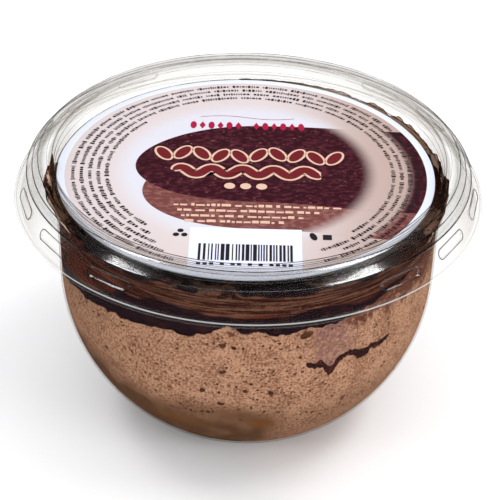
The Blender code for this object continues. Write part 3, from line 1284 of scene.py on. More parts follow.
@dataclass(frozen=True)
class Mousse:
    """The pale mousse that fills the bowl."""

    lines: FoodLines
    steps: int = 480
    side_rows: int = 130
    top_rows: int = 14
    into_wall: float = 0.00006
    squeezed_up: float = 0.0160
    rim_limit: float = 0.0023  # above the lip's plane
    # The left and low zones bound the painted shade.
    left_zone: tuple[float, float] = (-104.0, -160.0)  # degrees from +X
    right_zone: tuple[float, float] = (-66.0, -48.0)
    low_zone: tuple[float, float] = (-0.0225, -0.0345)  # from the lip's plane
    stains: tuple[Stain, ...] = (
        Stain(-94, -0.0086, 5.0, 0.0018, 0.85),
        Stain(-84, -0.0092, 4.0, 0.0014, 0.6),
        Stain(-72.6, -0.0097, 1.6, 0.0011, 1.4),
        Stain(-74, -0.0095, 5.0, 0.0030, 0.55),
        Stain(-128, -0.0125, 9.0, 0.0010, 0.5),
        Stain(-112, -0.0106, 9.0, 0.0010, 0.5),
    )
    syrups: tuple[Stain, ...] = (
        Stain(-84, -0.0334, 6.5, 0.0026, 0.95), Stain(-112, -0.0352, 16, 0.0022, 0.7),
    )
    mauve: Stain = Stain(-66.0, -0.0135, 7.0, 0.0030, 0.6)

    def build(self) -> None:
        """Builds the mousse and puts it into the scene."""
        angles = np.arange(self.steps) * 360.0 / self.steps - 180.0
        line = self._side_line()
        length = np.concatenate(([0.0], np.cumsum(np.linalg.norm(np.diff(line, axis=0), axis=1))))
        edge = self.lines.edge_height(angles) + self.lines.overlap
        rise = self.squeezed_up * np.sqrt(self.lines.lift(angles))
        reaches, heights = [], []
        for rim in LIP_HEIGHT + np.minimum(edge + rise, self.rim_limit):
            start = np.interp(-rim, -line[:, 1], length)
            along = np.linspace(start, length[-1], self.side_rows + 1)[:-1]
            radius = np.interp(along, length, line[:, 0])
            inner = np.linspace(0.0, radius[0], self.top_rows + 1)[1:-1]
            top = rim - (rim - self.lines.floor) * (1 - inner / radius[0])
            reaches.append(np.concatenate((inner, radius)))
            heights.append(np.concatenate((top, np.interp(along, length, line[:, 1]))))
        columns = polar_grid(np.radians(angles), np.array(reaches), np.array(heights))
        mesh = lathe_mesh("mousse_fill", columns, self.lines.floor, line[-1, 1])
        self._mark(mesh)
        add_piece(mesh, MousseFinish().material(), Slot.MOUSSE, "mousse")

    def _side_line(self) -> Array:
        """The mousse's outline from the neck down the wall and in to the axis.

        Returns:
            Radius and height of its points.
        """
        wall = self.lines.wall_line[::-1] + (self.into_wall, 0.0)
        low = wall[-1, 1]
        base = [(0.0168, low - 0.00012), (0.0158, 0.0006), (0.0150, 0.00145), (0.0, 0.00175)]
        return np.vstack((wall, base))

    def _mark(self, mesh: Mesh) -> None:
        """Stores where the mousse has painted shade, and where it is pitted, stained and soaked.

        Args:
            mesh: the mousse's mesh.
        """
        places = vertex_places(mesh)
        angles = azimuths(places)
        heights = places[:, 2] - LIP_HEIGHT
        rough = wave(places, 0.006, 1.0)
        turned, behind = unbroken(angles, 6.0 * rough)
        left = smoothstep(*self.left_zone, turned) * behind
        low = smoothstep(*self.low_zone, heights + 0.0018 * rough)
        low = low * (0.35 + 0.65 * smoothstep(-72.0, -96.0, turned) * behind)
        right = smoothstep(*self.right_zone, angles + 5.0 * rough) * smoothstep(-0.006, -0.014, heights)
        # painted shade, darker at the left and towards the bottom
        add_values(mesh, "painted_shade", np.clip(0.35 * left + 1.05 * low, 0.0, 1.0))
        add_values(mesh, "pitting", np.clip(1.0 - 0.40 * right - 0.15 * left, 0.3, 1.0))
        stain = sum(stain.on(angles, heights) for stain in self.stains)
        add_values(mesh, "stain", np.clip(stain + self.lines.spill(places), 0.0, 1.4))
        add_values(mesh, "mauve", self.mauve.on(angles, heights))
        add_values(mesh, "syrup", np.clip(sum(spot.on(angles, heights) for spot in self.syrups), 0, 1))


@dataclass(frozen=True)
class ChocolateLayer:
    """The dark layer on the mousse, ragged along its lower edge."""

    lines: FoodLines
    steps: int = 960
    top_rows: int = 30
    side_rows: int = 22
    under_rows: int = 6
    into_wall: float = 0.00016
    pull_in: float = 0.0055
    smear_bottom: float = -0.0046  # from the lip's plane
    smear_drop: float = 0.0070  # how much lower the smear reaches at the left
    wall_zone: tuple[float, float] = (0.0340, 0.0355)  # radius
    band_zone: tuple[float, float] = (0.0003, 0.0014)  # from the lip's plane
    rust_zone: tuple[float, float] = (-0.0036, -0.0050)
    left_zone: tuple[float, float] = (-118.0, -160.0)  # degrees from +X
    rust_left: tuple[float, float] = (-112.0, -130.0)
    front_left: tuple[float, float] = (-152.0, -144.0)
    front_right: tuple[float, float] = (-42.0, -52.0)
    dabs: tuple[Stain, ...] = (
        Stain(-162, 0.0010, 13, 0.0030, 1.2), Stain(-20, 0.0020, 17, 0.0028, 1.0),
    )

    def build(self) -> None:
        """Builds the layer and puts it into the scene."""
        columns = self._columns()
        mesh = lathe_mesh("chocolate_top", columns, float(columns[:, 0, 2].mean()), self.lines.floor)
        self._mark(mesh)
        add_piece(mesh, ChocolateFinish().material(), Slot.CHOCOLATE, "chocolate_layer")

    def _columns(self) -> Array:
        """The layer's surface from the middle of its top over the wall to the middle below.

        Returns:
            Its points, one line for each step round the cup.
        """
        lines = self.lines
        angles = np.arange(self.steps) * 360.0 / self.steps - 180.0
        turned = np.radians(angles)
        pulled = (self.pull_in * lines.lift(angles))[:, None]
        ragged = 0.00028 * ring_wave(angles, 0.0011, 5.0) + 0.00030 * ring_wave(angles, 0.0028, 6.0)
        edge = (LIP_HEIGHT + lines.edge_height(angles) + ragged)[:, None]

        outer = lines.wall_radius(LIP_HEIGHT + FOOD_TOP) + self.into_wall - pulled
        flat = polar_grid(turned, outer * np.linspace(0.03, 0.985, self.top_rows), 0.0)
        flat[:, :, 2] = lines.top(flat.reshape(-1, 3)).reshape(self.steps, self.top_rows)

        top = flat[:, -1:, 2] - 0.0002
        side = top + (edge - top) * np.linspace(0.0, 1.0, self.side_rows)
        side_radius = lines.wall_radius(side) + self.into_wall - pulled
        share = np.linspace(0.992, 0.1, self.under_rows)
        under = edge * share + lines.floor * (1.0 - share)
        under_radius = (lines.wall_radius(edge) - pulled) * share
        radius = np.concatenate((side_radius, under_radius), axis=1)
        rest = polar_grid(turned, radius, np.concatenate((side, under), axis=1))
        return np.concatenate((flat, rest), axis=1)

    def _mark(self, mesh: Mesh) -> None:
        """Stores where mousse is smeared over the layer, where it is rusty and where it has dabs.

        Args:
            mesh: the layer's mesh.
        """
        places = vertex_places(mesh)
        heights = places[:, 2] - LIP_HEIGHT
        near_wall = smoothstep(*self.wall_zone, np.hypot(places[:, 0], places[:, 1]))
        around = azimuths(places)
        turned, behind = unbroken(around)
        bottom = self.smear_bottom - self.smear_drop * smoothstep(*self.left_zone, turned) * behind
        smear = smoothstep(-0.0012, 0.0012, heights - bottom + 0.0008 * wave(places, 0.005, 9.0))
        front = smoothstep(*self.front_left, around) * smoothstep(*self.front_right, around)
        high = smoothstep(*self.band_zone, heights + 0.0004 * wave(places, 0.004, 7.0))
        low = smoothstep(*self.rust_zone, heights + 0.0006 * wave(places, 0.004, 8.0))
        left = 0.6 * smoothstep(*self.rust_left, turned) * behind
        right = 0.3 * smoothstep(-62.0, -48.0, turned) * smoothstep(58.0, 30.0, turned)
        add_values(mesh, "smear", near_wall * smear * (1.0 - front * high))
        add_values(mesh, "rust", np.clip(np.maximum(low, left + right), 0.0, 1.0))
        add_values(mesh, "dab", near_wall * sum(dab.on(around, heights) for dab in self.dabs))


@dataclass(frozen=True)
class Sponge:
    """The piece of soaked sponge at the front right, with the dark cocoa seam under it."""

    lines: FoodLines
    # The seam: degrees from +X, height from the lip's plane and half thickness
    seam: tuple[tuple[float, float, float], ...] = (
        (-72.1, -0.01675, 0.00012), (-69.7, -0.0175, 0.00030), (-67.2, -0.0173, 0.00040),
        (-66.2, -0.0188, 0.00055), (-65.1, -0.0197, 0.00070), (-63.6, -0.0192, 0.00055),
        (-63.1, -0.0182, 0.00045), (-61.6, -0.0171, 0.00030), (-59.6, -0.0166, 0.00020),
        (-58.6, -0.0163, 0.00018), (-57.2, -0.0171, 0.00040), (-54.6, -0.0179, 0.00062),
        (-51.7, -0.01785, 0.00050), (-51.0, -0.0171, 0.00030), (-49.0, -0.0175, 0.00035),
        (-47.4, -0.0175, 0.00030), (-45.8, -0.0174, 0.00022), (-43.2, -0.0169, 0.00010),
    )
    columns: int = 200
    rows: int = 50
    depth: float = 0.0060
    into_wall: float = 0.00010

    def build(self) -> None:
        """Builds the sponge and its seam and puts them into the scene."""
        angles, heights, halves = (np.array(part) for part in zip(*self.seam))
        fine = np.linspace(angles[0], angles[-1], self.columns)
        floor = np.interp(fine, angles, heights) + 0.00018 * ring_wave(fine, 0.0009, 11.0)
        top = self.lines.edge_height(fine) + self.lines.overlap
        mesh = self._slab("sponge_piece", fine, floor, top, self.rows, self.into_wall)
        places = vertex_places(mesh)
        around = azimuths(places)
        inside = smoothstep(0.0, 4.0, around - angles[0]) * smoothstep(0.0, 3.0, angles[-1] - around)
        add_values(mesh, "stain", self.lines.spill(places))
        add_values(mesh, "mauve", 0.80 * inside * (1.0 - smoothstep(-62.0, -54.0, around)))
        add_values(mesh, "pitting", 1.0 - 0.15 * inside)
        add_blanks(mesh, "painted_shade", "syrup")
        add_piece(mesh, MousseFinish("sponge").material(), Slot.SPONGE, "sponge")
        half = np.interp(fine, angles, halves) * 1.35 + 0.00010
        drip = 0.00034 * np.abs(ring_wave(fine, 0.0008, 12.0))
        drip += 0.00016 * np.abs(ring_wave(fine, 0.0004, 13.0))
        low, high = floor - half - drip, floor + half + drip * 0.5
        seam = self._slab("cocoa_seam", fine, low, high, 6, self.into_wall + 0.00004)
        add_blanks(seam, "smear", "rust", "dab")
        finish = ChocolateFinish("cocoa_seam", dark=(0.026, 0.0090, 0.0085), lighter=(0.070, 0.022, 0.016))
        add_piece(seam, finish.material(), Slot.CHOCOLATE)

    def _slab(self, name: str, angles: Array, floor: Array, top: Array, rows: int, into_wall: float) -> Mesh:
        """A closed slab against the wall between two wavy lines.

        Args:
            name: of the mesh.
            angles: degrees from +X, one a column.
            floor: the slab's lower edge from the lip's plane, one a column.
            top: its upper edge.
            rows: how many rows of points its face has.
            into_wall: how far the face reaches into the bowl's wall.

        Returns:
            The mesh.
        """
        share = np.linspace(0.0, 1.0, rows)
        heights = LIP_HEIGHT + top[:, None] + (floor - top)[:, None] * share
        radius = self.lines.wall_radius(heights) + into_wall
        outline = np.concatenate((radius, radius[:, ::-1] - self.depth), axis=1)
        grid = polar_grid(np.radians(angles), outline, np.concatenate((heights, heights[:, ::-1]), axis=1))
        columns, around = grid.shape[:2]
        index = np.arange(columns * around).reshape(columns, around)
        beside = np.roll(index, -1, axis=1)
        quads = np.stack((index[:-1], beside[:-1], beside[1:], index[1:]), axis=-1)
        ends = [index[0, ::-1].tolist(), index[-1].tolist()]
        return new_mesh(name, grid.reshape(-1, 3), quads.reshape(-1, 4).tolist() + ends)


@dataclass(frozen=True)
class CocoaSpecks:
    """Small dark crumbs of cocoa caught between the mousse and the wall."""

    lines: FoodLines
    # The largest ones: degrees from +X, height from the lip's plane, radius
    largest: tuple[tuple[float, float, float], ...] = (
        (-96.2, -0.0115, 0.00055), (-93.0, -0.0119, 0.00045), (-101.9, -0.0233, 0.00055),
        (-89.5, -0.0226, 0.00060), (-96.6, -0.02675, 0.00050), (-82.1, -0.0233, 0.00050),
        (-96.0, -0.0179, 0.00045), (-87.9, -0.0207, 0.00040), (-72.6, -0.0097, 0.00080),
    )
    count: int = 110
    count_behind: int = 70
    points: int = 9
    layers: tuple[float, float] = (0.00016, -0.00030)  # outer and inner face from the bowl's inner face

    def build(self) -> None:
        """Builds all crumbs as one piece and puts it into the scene."""
        draw = random.Random(41)
        specks = list(self.largest)
        for number in range(self.count + self.count_behind):
            angle = draw.triangular(-165.0, -15.0, -90.0) if number < self.count else draw.uniform(5.0, 175.0)
            height = draw.uniform(-0.0340, -0.0105)
            specks.append((angle, height, draw.uniform(0.00010, 0.00028)))
        vertices, faces = [], []
        for angle, height, size in specks:
            self._add(vertices, faces, math.radians(angle), LIP_HEIGHT + height, size, draw)
        mesh = new_mesh("cocoa_specks", vertices, faces, smooth=False)
        add_blanks(mesh, "smear", "rust", "dab")
        finish = ChocolateFinish("cocoa_specks", dark=(0.060, 0.022, 0.013), lighter=(0.110, 0.045, 0.025))
        add_piece(mesh, finish.material(), Slot.CHOCOLATE)

    def _add(
        self, vertices: list, faces: list, angle: float, height: float, size: float, draw: random.Random,
    ) -> None:
        """Adds one flat uneven crumb.

        Args:
            vertices: the list it adds to.
            faces: the list it adds to.
            angle: radians from +X.
            height: above the table.
            size: its radius.
            draw: gives the uneven outline.
        """
        first = len(vertices)
        stretch = draw.uniform(0.75, 1.9)
        tilt = draw.uniform(0.0, math.pi)
        for layer in self.layers:
            for point in range(self.points):
                turn = math.tau * point / self.points
                reach = size * draw.uniform(0.75, 1.2)
                shift, rise = turned_point(reach * stretch * math.cos(turn), reach * math.sin(turn), tilt)
                at_height = height + rise * 0.8
                radius = float(self.lines.wall_radius(at_height)) + layer
                turned = angle + shift / radius
                vertices.append((radius * math.cos(turned), radius * math.sin(turned), at_height))
        faces += prism_faces(first + self.points, first, self.points)


@dataclass(frozen=True)
class GapFilms:
    """Food squeezed up in thin ragged films between the lid's upright wall and the bowl's rim."""

    half_thickness: float = 0.00008
    columns: int = 220
    rows: int = 16
    # Lines across each film: degrees from +X, radius and height from the lip's plane of its lower
    # and of its upper end, and how pale it is
    films: tuple[tuple[tuple[float, ...], ...], ...] = (
        (
            (-181.0, 0.0397, 0.0034, 0.0399, 0.0056, 0.20), (-176.0, 0.0397, 0.0018, 0.0402, 0.0056, 0.15),
            (-172.0, 0.0397, 0.0008, 0.0409, 0.0054, 0.85), (-169.5, 0.0397, 0.0004, 0.0414, 0.0052, 0.15),
            (-166.0, 0.0397, 0.0002, 0.0417, 0.0052, 0.70), (-163.5, 0.0397, 0.0000, 0.0416, 0.0050, 0.10),
            (-160.0, 0.0397, 0.0000, 0.0418, 0.0048, 0.95), (-157.5, 0.0397, 0.0000, 0.0415, 0.0048, 0.20),
            (-154.0, 0.0397, 0.0002, 0.0416, 0.0044, 1.05), (-150.0, 0.0397, 0.0002, 0.0413, 0.0040, 0.80),
            (-147.0, 0.0397, 0.0004, 0.0408, 0.0028, 0.15), (-142.0, 0.0397, 0.0006, 0.0399, 0.0014, 0.10),
        ),
        (
            (-32.0, 0.0397, -0.0010, 0.0401, 0.0010, 0.10), (-27.0, 0.0397, -0.0012, 0.0407, 0.0032, 0.60),
            (-24.5, 0.0397, -0.0012, 0.0409, 0.0040, 0.05), (-21.0, 0.0397, -0.0010, 0.0411, 0.0046, 0.95),
            (-18.5, 0.0397, -0.0010, 0.0408, 0.0046, 0.10), (-15.0, 0.0397, -0.0010, 0.0408, 0.0048, 0.80),
            (-11.5, 0.0397, -0.0008, 0.0404, 0.0050, 0.05), (-7.0, 0.0397, -0.0008, 0.0402, 0.0052, 0.55),
            (-3.0, 0.0397, -0.0008, 0.0397, 0.0040, 0.10), (2.0, 0.0396, -0.0008, 0.0396, 0.0033, 0.90),
            (6.0, 0.0396, -0.0008, 0.0396, 0.0032, 0.25), (11.0, 0.0396, -0.0008, 0.0396, 0.0032, 1.05),
            (17.0, 0.0396, -0.0006, 0.0396, 0.0031, 0.60), (22.0, 0.0396, -0.0004, 0.0396, 0.0031, 1.10),
            (44.0, 0.0396, 0.0002, 0.0396, 0.0031, 1.10), (58.0, 0.0396, 0.0010, 0.0396, 0.0032, 1.00),
            (76.0, 0.0396, 0.0020, 0.0396, 0.0032, 0.90), (94.0, 0.0396, 0.0027, 0.0396, 0.0032, 0.60),
        ),
    )

    def build(self) -> None:
        """Builds all films as one piece and puts it into the scene."""
        vertices, faces, pales = [], [], []
        for seed, stations in enumerate(self.films):
            grid, pale = self._grid(stations, 31.0 + seed)
            outward = grid * (1.0, 1.0, 0.0)
            outward /= np.linalg.norm(outward, axis=-1)[..., None]
            first = len(vertices)
            size = self.columns * self.rows
            for side in (self.half_thickness, -self.half_thickness):
                vertices += (grid + outward * side).reshape(-1, 3).tolist()
                pales += pale.ravel().tolist()
            index = first + np.arange(size).reshape(self.columns, self.rows)
            corners = (index[:-1, :-1], index[1:, :-1], index[1:, 1:], index[:-1, 1:])
            outer = np.stack(corners, axis=-1).reshape(-1, 4)
            rim = np.concatenate((index[:-1, 0], index[-1, :-1], index[:0:-1, -1], index[0, :0:-1]))
            following = np.roll(rim, -1)
            faces += outer.tolist() + (outer[:, ::-1] + size).tolist()
            faces += np.column_stack((following, rim, rim + size, following + size)).tolist()
        mesh = new_mesh("gap_films", vertices, faces, smooth=False)
        add_values(mesh, "dab", np.array(pales))
        add_values(mesh, "smear", np.full(len(vertices), 0.9))
        add_values(mesh, "rust", np.full(len(vertices), 0.4))
        finish = ChocolateFinish("gap_films", smear=(0.170, 0.072, 0.045), dab=(0.980, 0.680, 0.500))
        add_piece(mesh, finish.material(), Slot.CHOCOLATE)

    def _grid(self, stations: Sequence[Sequence[float]], seed: float) -> tuple[Array, Array]:
        """The middle surface of one film.

        Args:
            stations: lines across the film, in order round the cup.
            seed: of its ragged edges.

        Returns:
            Its points, and how pale each is.
        """
        places, *ends = np.array(stations).T
        fine = np.linspace(places[0], places[-1], self.columns)
        low_radius, low, high_radius, high, pale = (np.interp(fine, places, end)[:, None] for end in ends)
        ragged = 0.00045 * ring_wave(fine, 0.0026, seed, 0.040)
        ragged += 0.00014 * ring_wave(fine, 0.0009, seed + 0.5, 0.040)
        room = np.clip((high - low) / 0.0040, 0.0, 1.0)
        share = np.linspace(0.0, 1.0, self.rows)
        height = low + (high - low) * share + ragged[:, None] * room * (2.0 * share - 0.6)
        radius = low_radius + (high_radius - low_radius) * share
        border = 1.0 - np.abs(2.0 * share - 1.0) ** 6
        return polar_grid(np.radians(fine), radius, LIP_HEIGHT + height), pale * (0.35 + 0.65 * border)


# The label


class PrintLayer:
    """Flat shapes of one ink, each a thin closed prism on the label."""

    THICKNESS = 0.00002

    def __init__(self, name: str, height: float) -> None:
        """Starts an empty layer.

        Args:
            name: of the piece.
            height: of its underside above the table.
        """
        self.name = name
        self.height = height
        self.vertices: list[tuple[float, float, float]] = []
        self.faces: list[list[int]] = []

    def shape(self, outline: Sequence[tuple[float, float]]) -> None:
        """Adds a prism on an outline that runs anticlockwise.

        Args:
            outline: its points across the label.
        """
        first, count = len(self.vertices), len(outline)
        for level in (self.height, self.height + self.THICKNESS):
            self.vertices += [(x, y, level) for x, y in outline]
        self.faces += prism_faces(first, first + count, count)

    def oval(
        self, x: float, y: float, width: float, height: float, tilt: float = 0.0, points: int = 28,
    ) -> None:
        """Adds an oval.

        Args:
            x: its middle across.
            y: its middle up the label.
            width: its full width.
            height: its full height.
            tilt: radians, anticlockwise.
            points: corners of its outline.
        """
        outline = []
        for point in range(points):
            turn = math.tau * point / points
            along, up = turned_point(width / 2 * math.cos(turn), height / 2 * math.sin(turn), tilt)
            outline.append((x + along, y + up))
        self.shape(outline)

    def bar(self, x: float, y: float, width: float, height: float) -> None:
        """Adds an upright rectangle by its lower left corner."""
        self.shape([(x, y), (x + width, y), (x + width, y + height), (x, y + height)])

    def arc_bar(self, radius: float, angle: float, length: float, height: float) -> None:
        """Adds a short bar that lies along a circle round the label's middle.

        Args:
            radius: of the circle, at the bar's middle.
            angle: radians from +X to the bar's start.
            length: along the circle, clockwise.
            height: across the circle.
        """
        half = height / 2
        end = angle - length / radius
        inner, outer = radius - half, radius + half
        corners = ((inner, angle), (inner, end), (outer, end), (outer, angle))
        self.shape([(reach * math.cos(turn), reach * math.sin(turn)) for reach, turn in corners])

    def ribbon(self, line: Sequence[tuple[float, float]], widths: Sequence[float]) -> None:
        """Adds a ribbon along a line.

        Args:
            line: points along its middle.
            widths: its full width at each point.
        """
        points = np.array(line)
        along = np.gradient(points, axis=0)
        along /= np.linalg.norm(along, axis=1)[:, None]
        left = np.column_stack((-along[:, 1], along[:, 0])) * np.array(widths)[:, None] / 2
        outline = np.vstack((points - left, (points + left)[::-1]))
        self.shape([tuple(point) for point in outline])

    def build(self, material: Material, shift: float) -> None:
        """Puts the layer into the scene in this ink, shifted along X."""
        mesh = new_mesh(self.name, self.vertices, self.faces, smooth=False)
        add_piece(mesh, material, Slot.LABEL).location.x = shift


@dataclass(frozen=True)
class Label:
    """The round label with a generic print: small dashes, ovals, a swirl and a field of bars."""

    radius: float = 0.03825
    shift: float = -0.0006
    underside: float = LIP_HEIGHT + 0.00337
    thickness: float = 0.00022
    print_radius: float = 0.0366
    swirl_points: int = 130
    swirl_tip: float = 0.40  # share of the swirl's length that its round tip takes
    row_radii: tuple[float, ...] = (0.0350, 0.0333, 0.0316, 0.0299, 0.0282)
    oval_start: float = -0.0170
    oval_pitch: float = 0.0039
    oval_level: float = 0.0058
    ribbon_start: tuple[float, float] = (-0.0148, -0.0008)
    ribbon_length: float = 0.0300
    crimson_start: float = -0.0114
    crimson_pitch: float = 0.0019
    crimson_level: float = 0.01775
    dash_start: tuple[float, float] = (-0.0140, -0.0138)
    dash_row_pitch: float = 0.0019
    bar_span: tuple[float, float] = (-0.0086, 0.0092)
    bar_foot: float = -0.0322
    bar_height: float = 0.0054
    dot_span: tuple[float, float] = (-0.0088, 0.0090)
    dot_foot: float = -0.0338
    dot_size: float = 0.0008
    box_left: float = -0.0104
    box_right: float = 0.0110
    box_top: float = -0.0214

    @property
    def face(self) -> float:
        """Height of the label's upper face above the table."""
        return self.underside + self.thickness

    def build(self) -> None:
        """Builds the label and its print and puts them into the scene."""
        self._paper()
        self._swirl()
        self._ovals()
        self._small_print()
        self._bar_field()

    def _layer(self, name: str, level: int) -> PrintLayer:
        """An empty print layer; level 0 lies on the paper, and each next one on the one before."""
        sunk = 0.000004
        return PrintLayer(name, self.face - sunk + level * (PrintLayer.THICKNESS - sunk))

    def _paper(self) -> None:
        """Builds the paper disc."""
        edge = 0.00003
        radius = np.array((self.radius - edge, self.radius, self.radius))
        height = np.array((self.face, self.face - edge, self.underside))
        columns = polar_grid(np.arange(180) * math.tau / 180, radius, height)
        mesh = lathe_mesh("label_paper", columns, self.face, self.underside)
        mesh.shade_flat()
        add_piece(mesh, PaperFinish().material(), Slot.LABEL, "label").location.x = self.shift

    def _swirl(self) -> None:
        """Builds the maroon swirl and the paler one under it."""
        deep = self._layer("print_swirl", 1)
        deep.shape(self._swirl_outline(0.0150, -0.0125, -0.0225))
        finish = SwirlFinish("ink_maroon", (0.0330, 0.0058, 0.0110), (0.0800, 0.0160, 0.0250))
        deep.build(finish.material(), self.shift)
        under = self._layer("print_under_swirl", 0)
        under.shape(self._swirl_outline(0.0060, -0.0222, -0.0205))
        finish = SwirlFinish("ink_russet", (0.150, 0.045, 0.042), (0.240, 0.100, 0.085))
        under.build(finish.material(), self.shift)

    def _swirl_outline(self, top: float, bottom: float, left: float) -> list[tuple[float, float]]:
        """A broad wave that starts in a round tip at the left and runs off the label's right side.

        Args:
            top: its highest y near the middle.
            bottom: its lowest y near the middle.
            left: x of its tip.

        Returns:
            Its outline, anticlockwise.
        """
        limit = self.print_radius
        middle = (top + bottom) / 2
        lower, upper = [], []
        for share in (1.0 - np.cos(np.linspace(0.0, math.pi, self.swirl_points))) / 2.0:
            x = left + (limit - left) * share
            open_share = math.sqrt(1.0 - (1.0 - min(1.0, share / self.swirl_tip)) ** 2)
            sway = 0.0022 * math.sin(share * 5.2)
            low = middle + (bottom - middle) * open_share + sway * share
            high = middle + (top - middle) * open_share + 0.0016 * math.sin(share * 4.1) + 0.003 * share
            reach = math.sqrt(max(limit * limit - x * x, 0.0))
            lower.append((x, max(low, -reach)))
            upper.append((x, min(high, reach)))
        return lower + upper[1:-1][::-1]

    def _ovals(self) -> None:
        """Builds the rows of ovals, the wavy ribbon and the crimson row."""
        pale = self._layer("print_cream_outlines", 2)
        red = self._layer("print_garnet_ovals", 3)
        for place in range(10):
            x = self.oval_start + place * self.oval_pitch
            tilt = math.radians(62 if place % 2 else 118)
            y = self.oval_level + 0.0006 * math.sin(place * 1.3)
            pale.oval(x, y, 0.0060, 0.0034, tilt)
            red.oval(x, y, 0.0050, 0.0024, tilt)
        steps = np.linspace(0.0, 1.0, 90)
        x, y = self.ribbon_start
        line = [(x + self.ribbon_length * s, y + 0.0013 * math.sin(s * 30.0)) for s in steps]
        widths = 0.0022 * np.sqrt(np.clip(np.minimum(steps, 1 - steps) * 22, 0.02, 1))
        pale.ribbon(line, widths + 0.0011)
        red.ribbon(line, widths)
        for place in range(3):
            pale.oval(-0.0032 + place * 0.0032, -0.0062, 0.0022, 0.0022)
        draw = random.Random(7)
        for row in range(4):
            x, end = self.dash_start[0] + 0.0008 * row, 0.0180 - 0.0034 * row
            y = self.dash_start[1] - row * self.dash_row_pitch
            while x < end:
                width = draw.uniform(0.0005, 0.0019)
                pale.bar(x, y, width, draw.choice((0.00055, 0.00075, 0.0009)))
                x += width + draw.choice((0.0003, 0.0003, 0.0008))
        crimson = self._layer("print_crimson", 2)
        for place in range(13):
            if place != 6:
                x = self.crimson_start + place * self.crimson_pitch
                crimson.oval(x, self.crimson_level, 0.0013, 0.0030, 0.0, 4 if place % 2 else 20)
        arch = [(-0.0100 + 0.0200 * s, 0.0213 + 0.0006 * math.sin(s * math.tau)) for s in steps]
        crimson.ribbon(arch, np.full(len(steps), 0.00012))
        pale.build(PrintFinish(Ink.CREAM).material(), self.shift)
        red.build(PrintFinish(Ink.GARNET).material(), self.shift)
        crimson.build(PrintFinish(Ink.CRIMSON).material(), self.shift)

    def _small_print(self) -> None:
        """Builds the rows of small dark dashes that run round the label."""
        layer = self._layer("print_small_rows", 3)
        draw = random.Random(23)
        for row, radius in enumerate(self.row_radii):
            angle = math.radians(248 - 5 * row)
            end = math.radians(-62 + 5 * row) if row < 4 else math.radians(138)
            while angle > end:
                word_end = angle - draw.uniform(0.0022, 0.0080) / radius
                while angle > word_end:
                    width = draw.choice((0.00022, 0.00030, 0.00055))
                    layer.arc_bar(radius, angle, width, draw.choice((0.00062, 0.00062, 0.00095)))
                    angle -= (width + 0.00026) / radius
                angle -= 0.0007 / radius
        for x in (-0.0130, -0.0114):
            layer.oval(x, -0.0240, 0.0012, 0.0012)
        layer.oval(-0.0122, -0.0226, 0.0012, 0.0012)
        layer.oval(0.0132, -0.0236, 0.0013, 0.0026, 0.3)
        layer.bar(0.0150, -0.0246, 0.0017, 0.0017)
        layer.build(PrintFinish(Ink.BLACK).material(), self.shift)

    def _bar_field(self) -> None:
        """Builds the white field with its upright bars."""
        white = self._layer("print_white_field", 2)
        limit = self.radius - 0.0004
        across = np.linspace(self.box_left, self.box_right, 12)
        lower = [(x, -math.sqrt(limit * limit - x * x)) for x in across]
        white.shape([*lower, (self.box_right, self.box_top), (self.box_left, self.box_top)])
        white.build(PrintFinish(Ink.WHITE).material(), self.shift)
        bars = self._layer("print_bars", 3)
        draw = random.Random(5)
        x, end = self.bar_span
        while x < end:
            width = draw.choice((0.00024, 0.00030, 0.00048, 0.00072))
            bars.bar(x, self.bar_foot, width, self.bar_height)
            x += width + draw.choice((0.00022, 0.00034, 0.00046))
        x, end = self.dot_span
        while x < end:
            bars.bar(x, self.dot_foot, self.dot_size, self.dot_size)
            x += draw.choice((0.0012, 0.0012, 0.0020))
        bars.build(PrintFinish(Ink.BLACK).material(), self.shift)


# The studio


@dataclass(frozen=True)
class SoftLight:
    """A flat lamp that points at the cup."""

    name: str
    place: tuple[float, float, float]
    side: float
    power: float
    colour: Colour = (1.0, 1.0, 1.0)
    upright: float = 0.0  # its other side; square where it is 0
    mirrored: bool = True  # whether glossy surfaces show it

    def build(self) -> None:
        """Puts the lamp into the scene."""
        data = bpy.data.lights.new(self.name, "AREA")
        data.energy = self.power
        data.color = self.colour
        data.size = self.side
        if self.upright:
            data.shape = "RECTANGLE"
            data.size_y = self.upright
        lamp = bpy.data.objects.new(self.name, data)
        lamp.location = self.place
        lamp.visible_glossy = self.mirrored
        target = Vector((0.0, 0.0, 0.03))
        lamp.rotation_euler = (target - Vector(self.place)).to_track_quat("-Z", "Y").to_euler()
        bpy.context.scene.collection.objects.link(lamp)


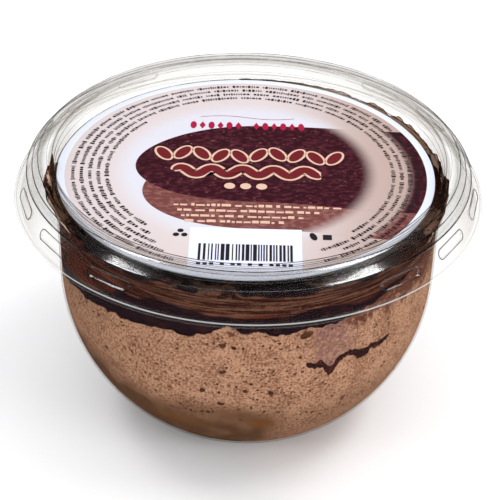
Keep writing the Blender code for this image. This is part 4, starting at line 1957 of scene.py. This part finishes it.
@dataclass(frozen=True)
class Studio:
    """Floor, soft light and the camera at the photograph's angle."""

    focal_pixels: float = 1565.14531
    image_pixels: float = 500.0
    sensor: float = 36.0
    distance: float = 0.320
    elevation: float = math.radians(32.1730029)
    pitch: float = -0.0413876154
    yaw: float = 0.00191150408
    roll: float = 0.0272855440
    world_strength: float = 0.45
    lights: tuple[SoftLight, ...] = (
        SoftLight("top_softbox", (0.0, 0.00, 1.30), 2.6, 14.5, mirrored=False),
        SoftLight("front_softbox", (0.10, -1.10, 0.75), 0.90, 2.4, mirrored=False),
        SoftLight("front_strip", (0.060, -0.980, 0.500), 1.50, 0.6, upright=0.12),
        SoftLight("right_low", (0.795, -0.573, 0.500), 0.46, 3.2, upright=0.19),
        SoftLight("right_high", (0.520, 0.000, 1.020), 0.56, 3.8, upright=0.28),
        SoftLight("left_low", (-0.855, -0.500, 0.480), 0.34, 1.8, (0.96, 0.96, 1.0), 0.17),
        SoftLight("left_high", (-0.487, 0.130, 1.034), 0.34, 2.3, (0.98, 0.98, 1.0), 0.26),
    )

    def build(self) -> None:
        """Puts floor, light and camera into the scene."""
        half = 4.0
        corners = [(-half, -half, 0.0), (half, -half, 0.0), (half, half, 0.0), (-half, half, 0.0)]
        mesh = new_mesh("studio_floor", corners, [(0, 1, 2, 3)], smooth=False)
        mesh.materials.append(FloorFinish().material())
        floor = bpy.data.objects.new("studio_floor", mesh)
        bpy.context.scene.collection.objects.link(floor)
        for light in self.lights:
            light.build()
        self._world()
        self._camera()
        scene = bpy.context.scene
        scene.view_settings.view_transform = "Standard"
        scene.cycles.transparent_max_bounces = 48

    def _world(self) -> None:
        """Sets an even pale surround."""
        world = bpy.data.worlds.new("studio_surround")
        world.use_nodes = True
        background = world.node_tree.nodes["Background"]
        background.inputs["Color"].default_value = (0.93, 0.96, 1.0, 1.0)
        background.inputs["Strength"].default_value = self.world_strength
        bpy.context.scene.world = world
        world.cycles_visibility.glossy = False

    @staticmethod
    def _axes(ahead: Vector) -> tuple[Vector, Vector, Vector]:
        """The level right, the up and the ahead of a camera that looks ahead.

        Args:
            ahead: the way it looks, of any length.

        Returns:
            Three unit vectors.
        """
        ahead = ahead.normalized()
        right = ahead.cross(Vector((0.0, 0.0, 1.0))).normalized()
        return right, right.cross(ahead), ahead

    def _camera(self) -> None:
        """Sets the camera that matches the photograph."""
        place = Vector((0.0, -math.cos(self.elevation), math.sin(self.elevation))) * self.distance
        right, up, ahead = self._axes(-place)
        ahead = ahead + up * math.tan(self.pitch) + right * math.tan(self.yaw)
        right, up, ahead = self._axes(ahead)
        tilted_right = right * math.cos(self.roll) + up * math.sin(self.roll)
        tilted_up = up * math.cos(self.roll) - right * math.sin(self.roll)
        data = bpy.data.cameras.new("photo_camera")
        data.sensor_fit = "HORIZONTAL"
        data.sensor_width = self.sensor
        data.lens = self.focal_pixels / self.image_pixels * self.sensor
        data.clip_start = 0.01
        data.clip_end = 50.0
        camera = bpy.data.objects.new("photo_camera", data)
        turn = Matrix((tilted_right, tilted_up, -ahead)).transposed().to_4x4()
        camera.matrix_world = Matrix.Translation(place + Vector((0.0, 0.0, LIP_HEIGHT))) @ turn
        bpy.context.scene.collection.objects.link(camera)
        bpy.context.scene.camera = camera


def main() -> None:
    """Builds the cup and the studio."""
    logging.basicConfig(level=logging.INFO, format="%(message)s")
    bowl = Bowl()
    bowl.build()
    Lid().build()
    lines = FoodLines(bowl.inner_line())
    Mousse(lines).build()
    ChocolateLayer(lines).build()
    Sponge(lines).build()
    CocoaSpecks(lines).build()
    GapFilms().build()
    Label().build()
    Studio().build()


if __name__ == "__main__":
    main()
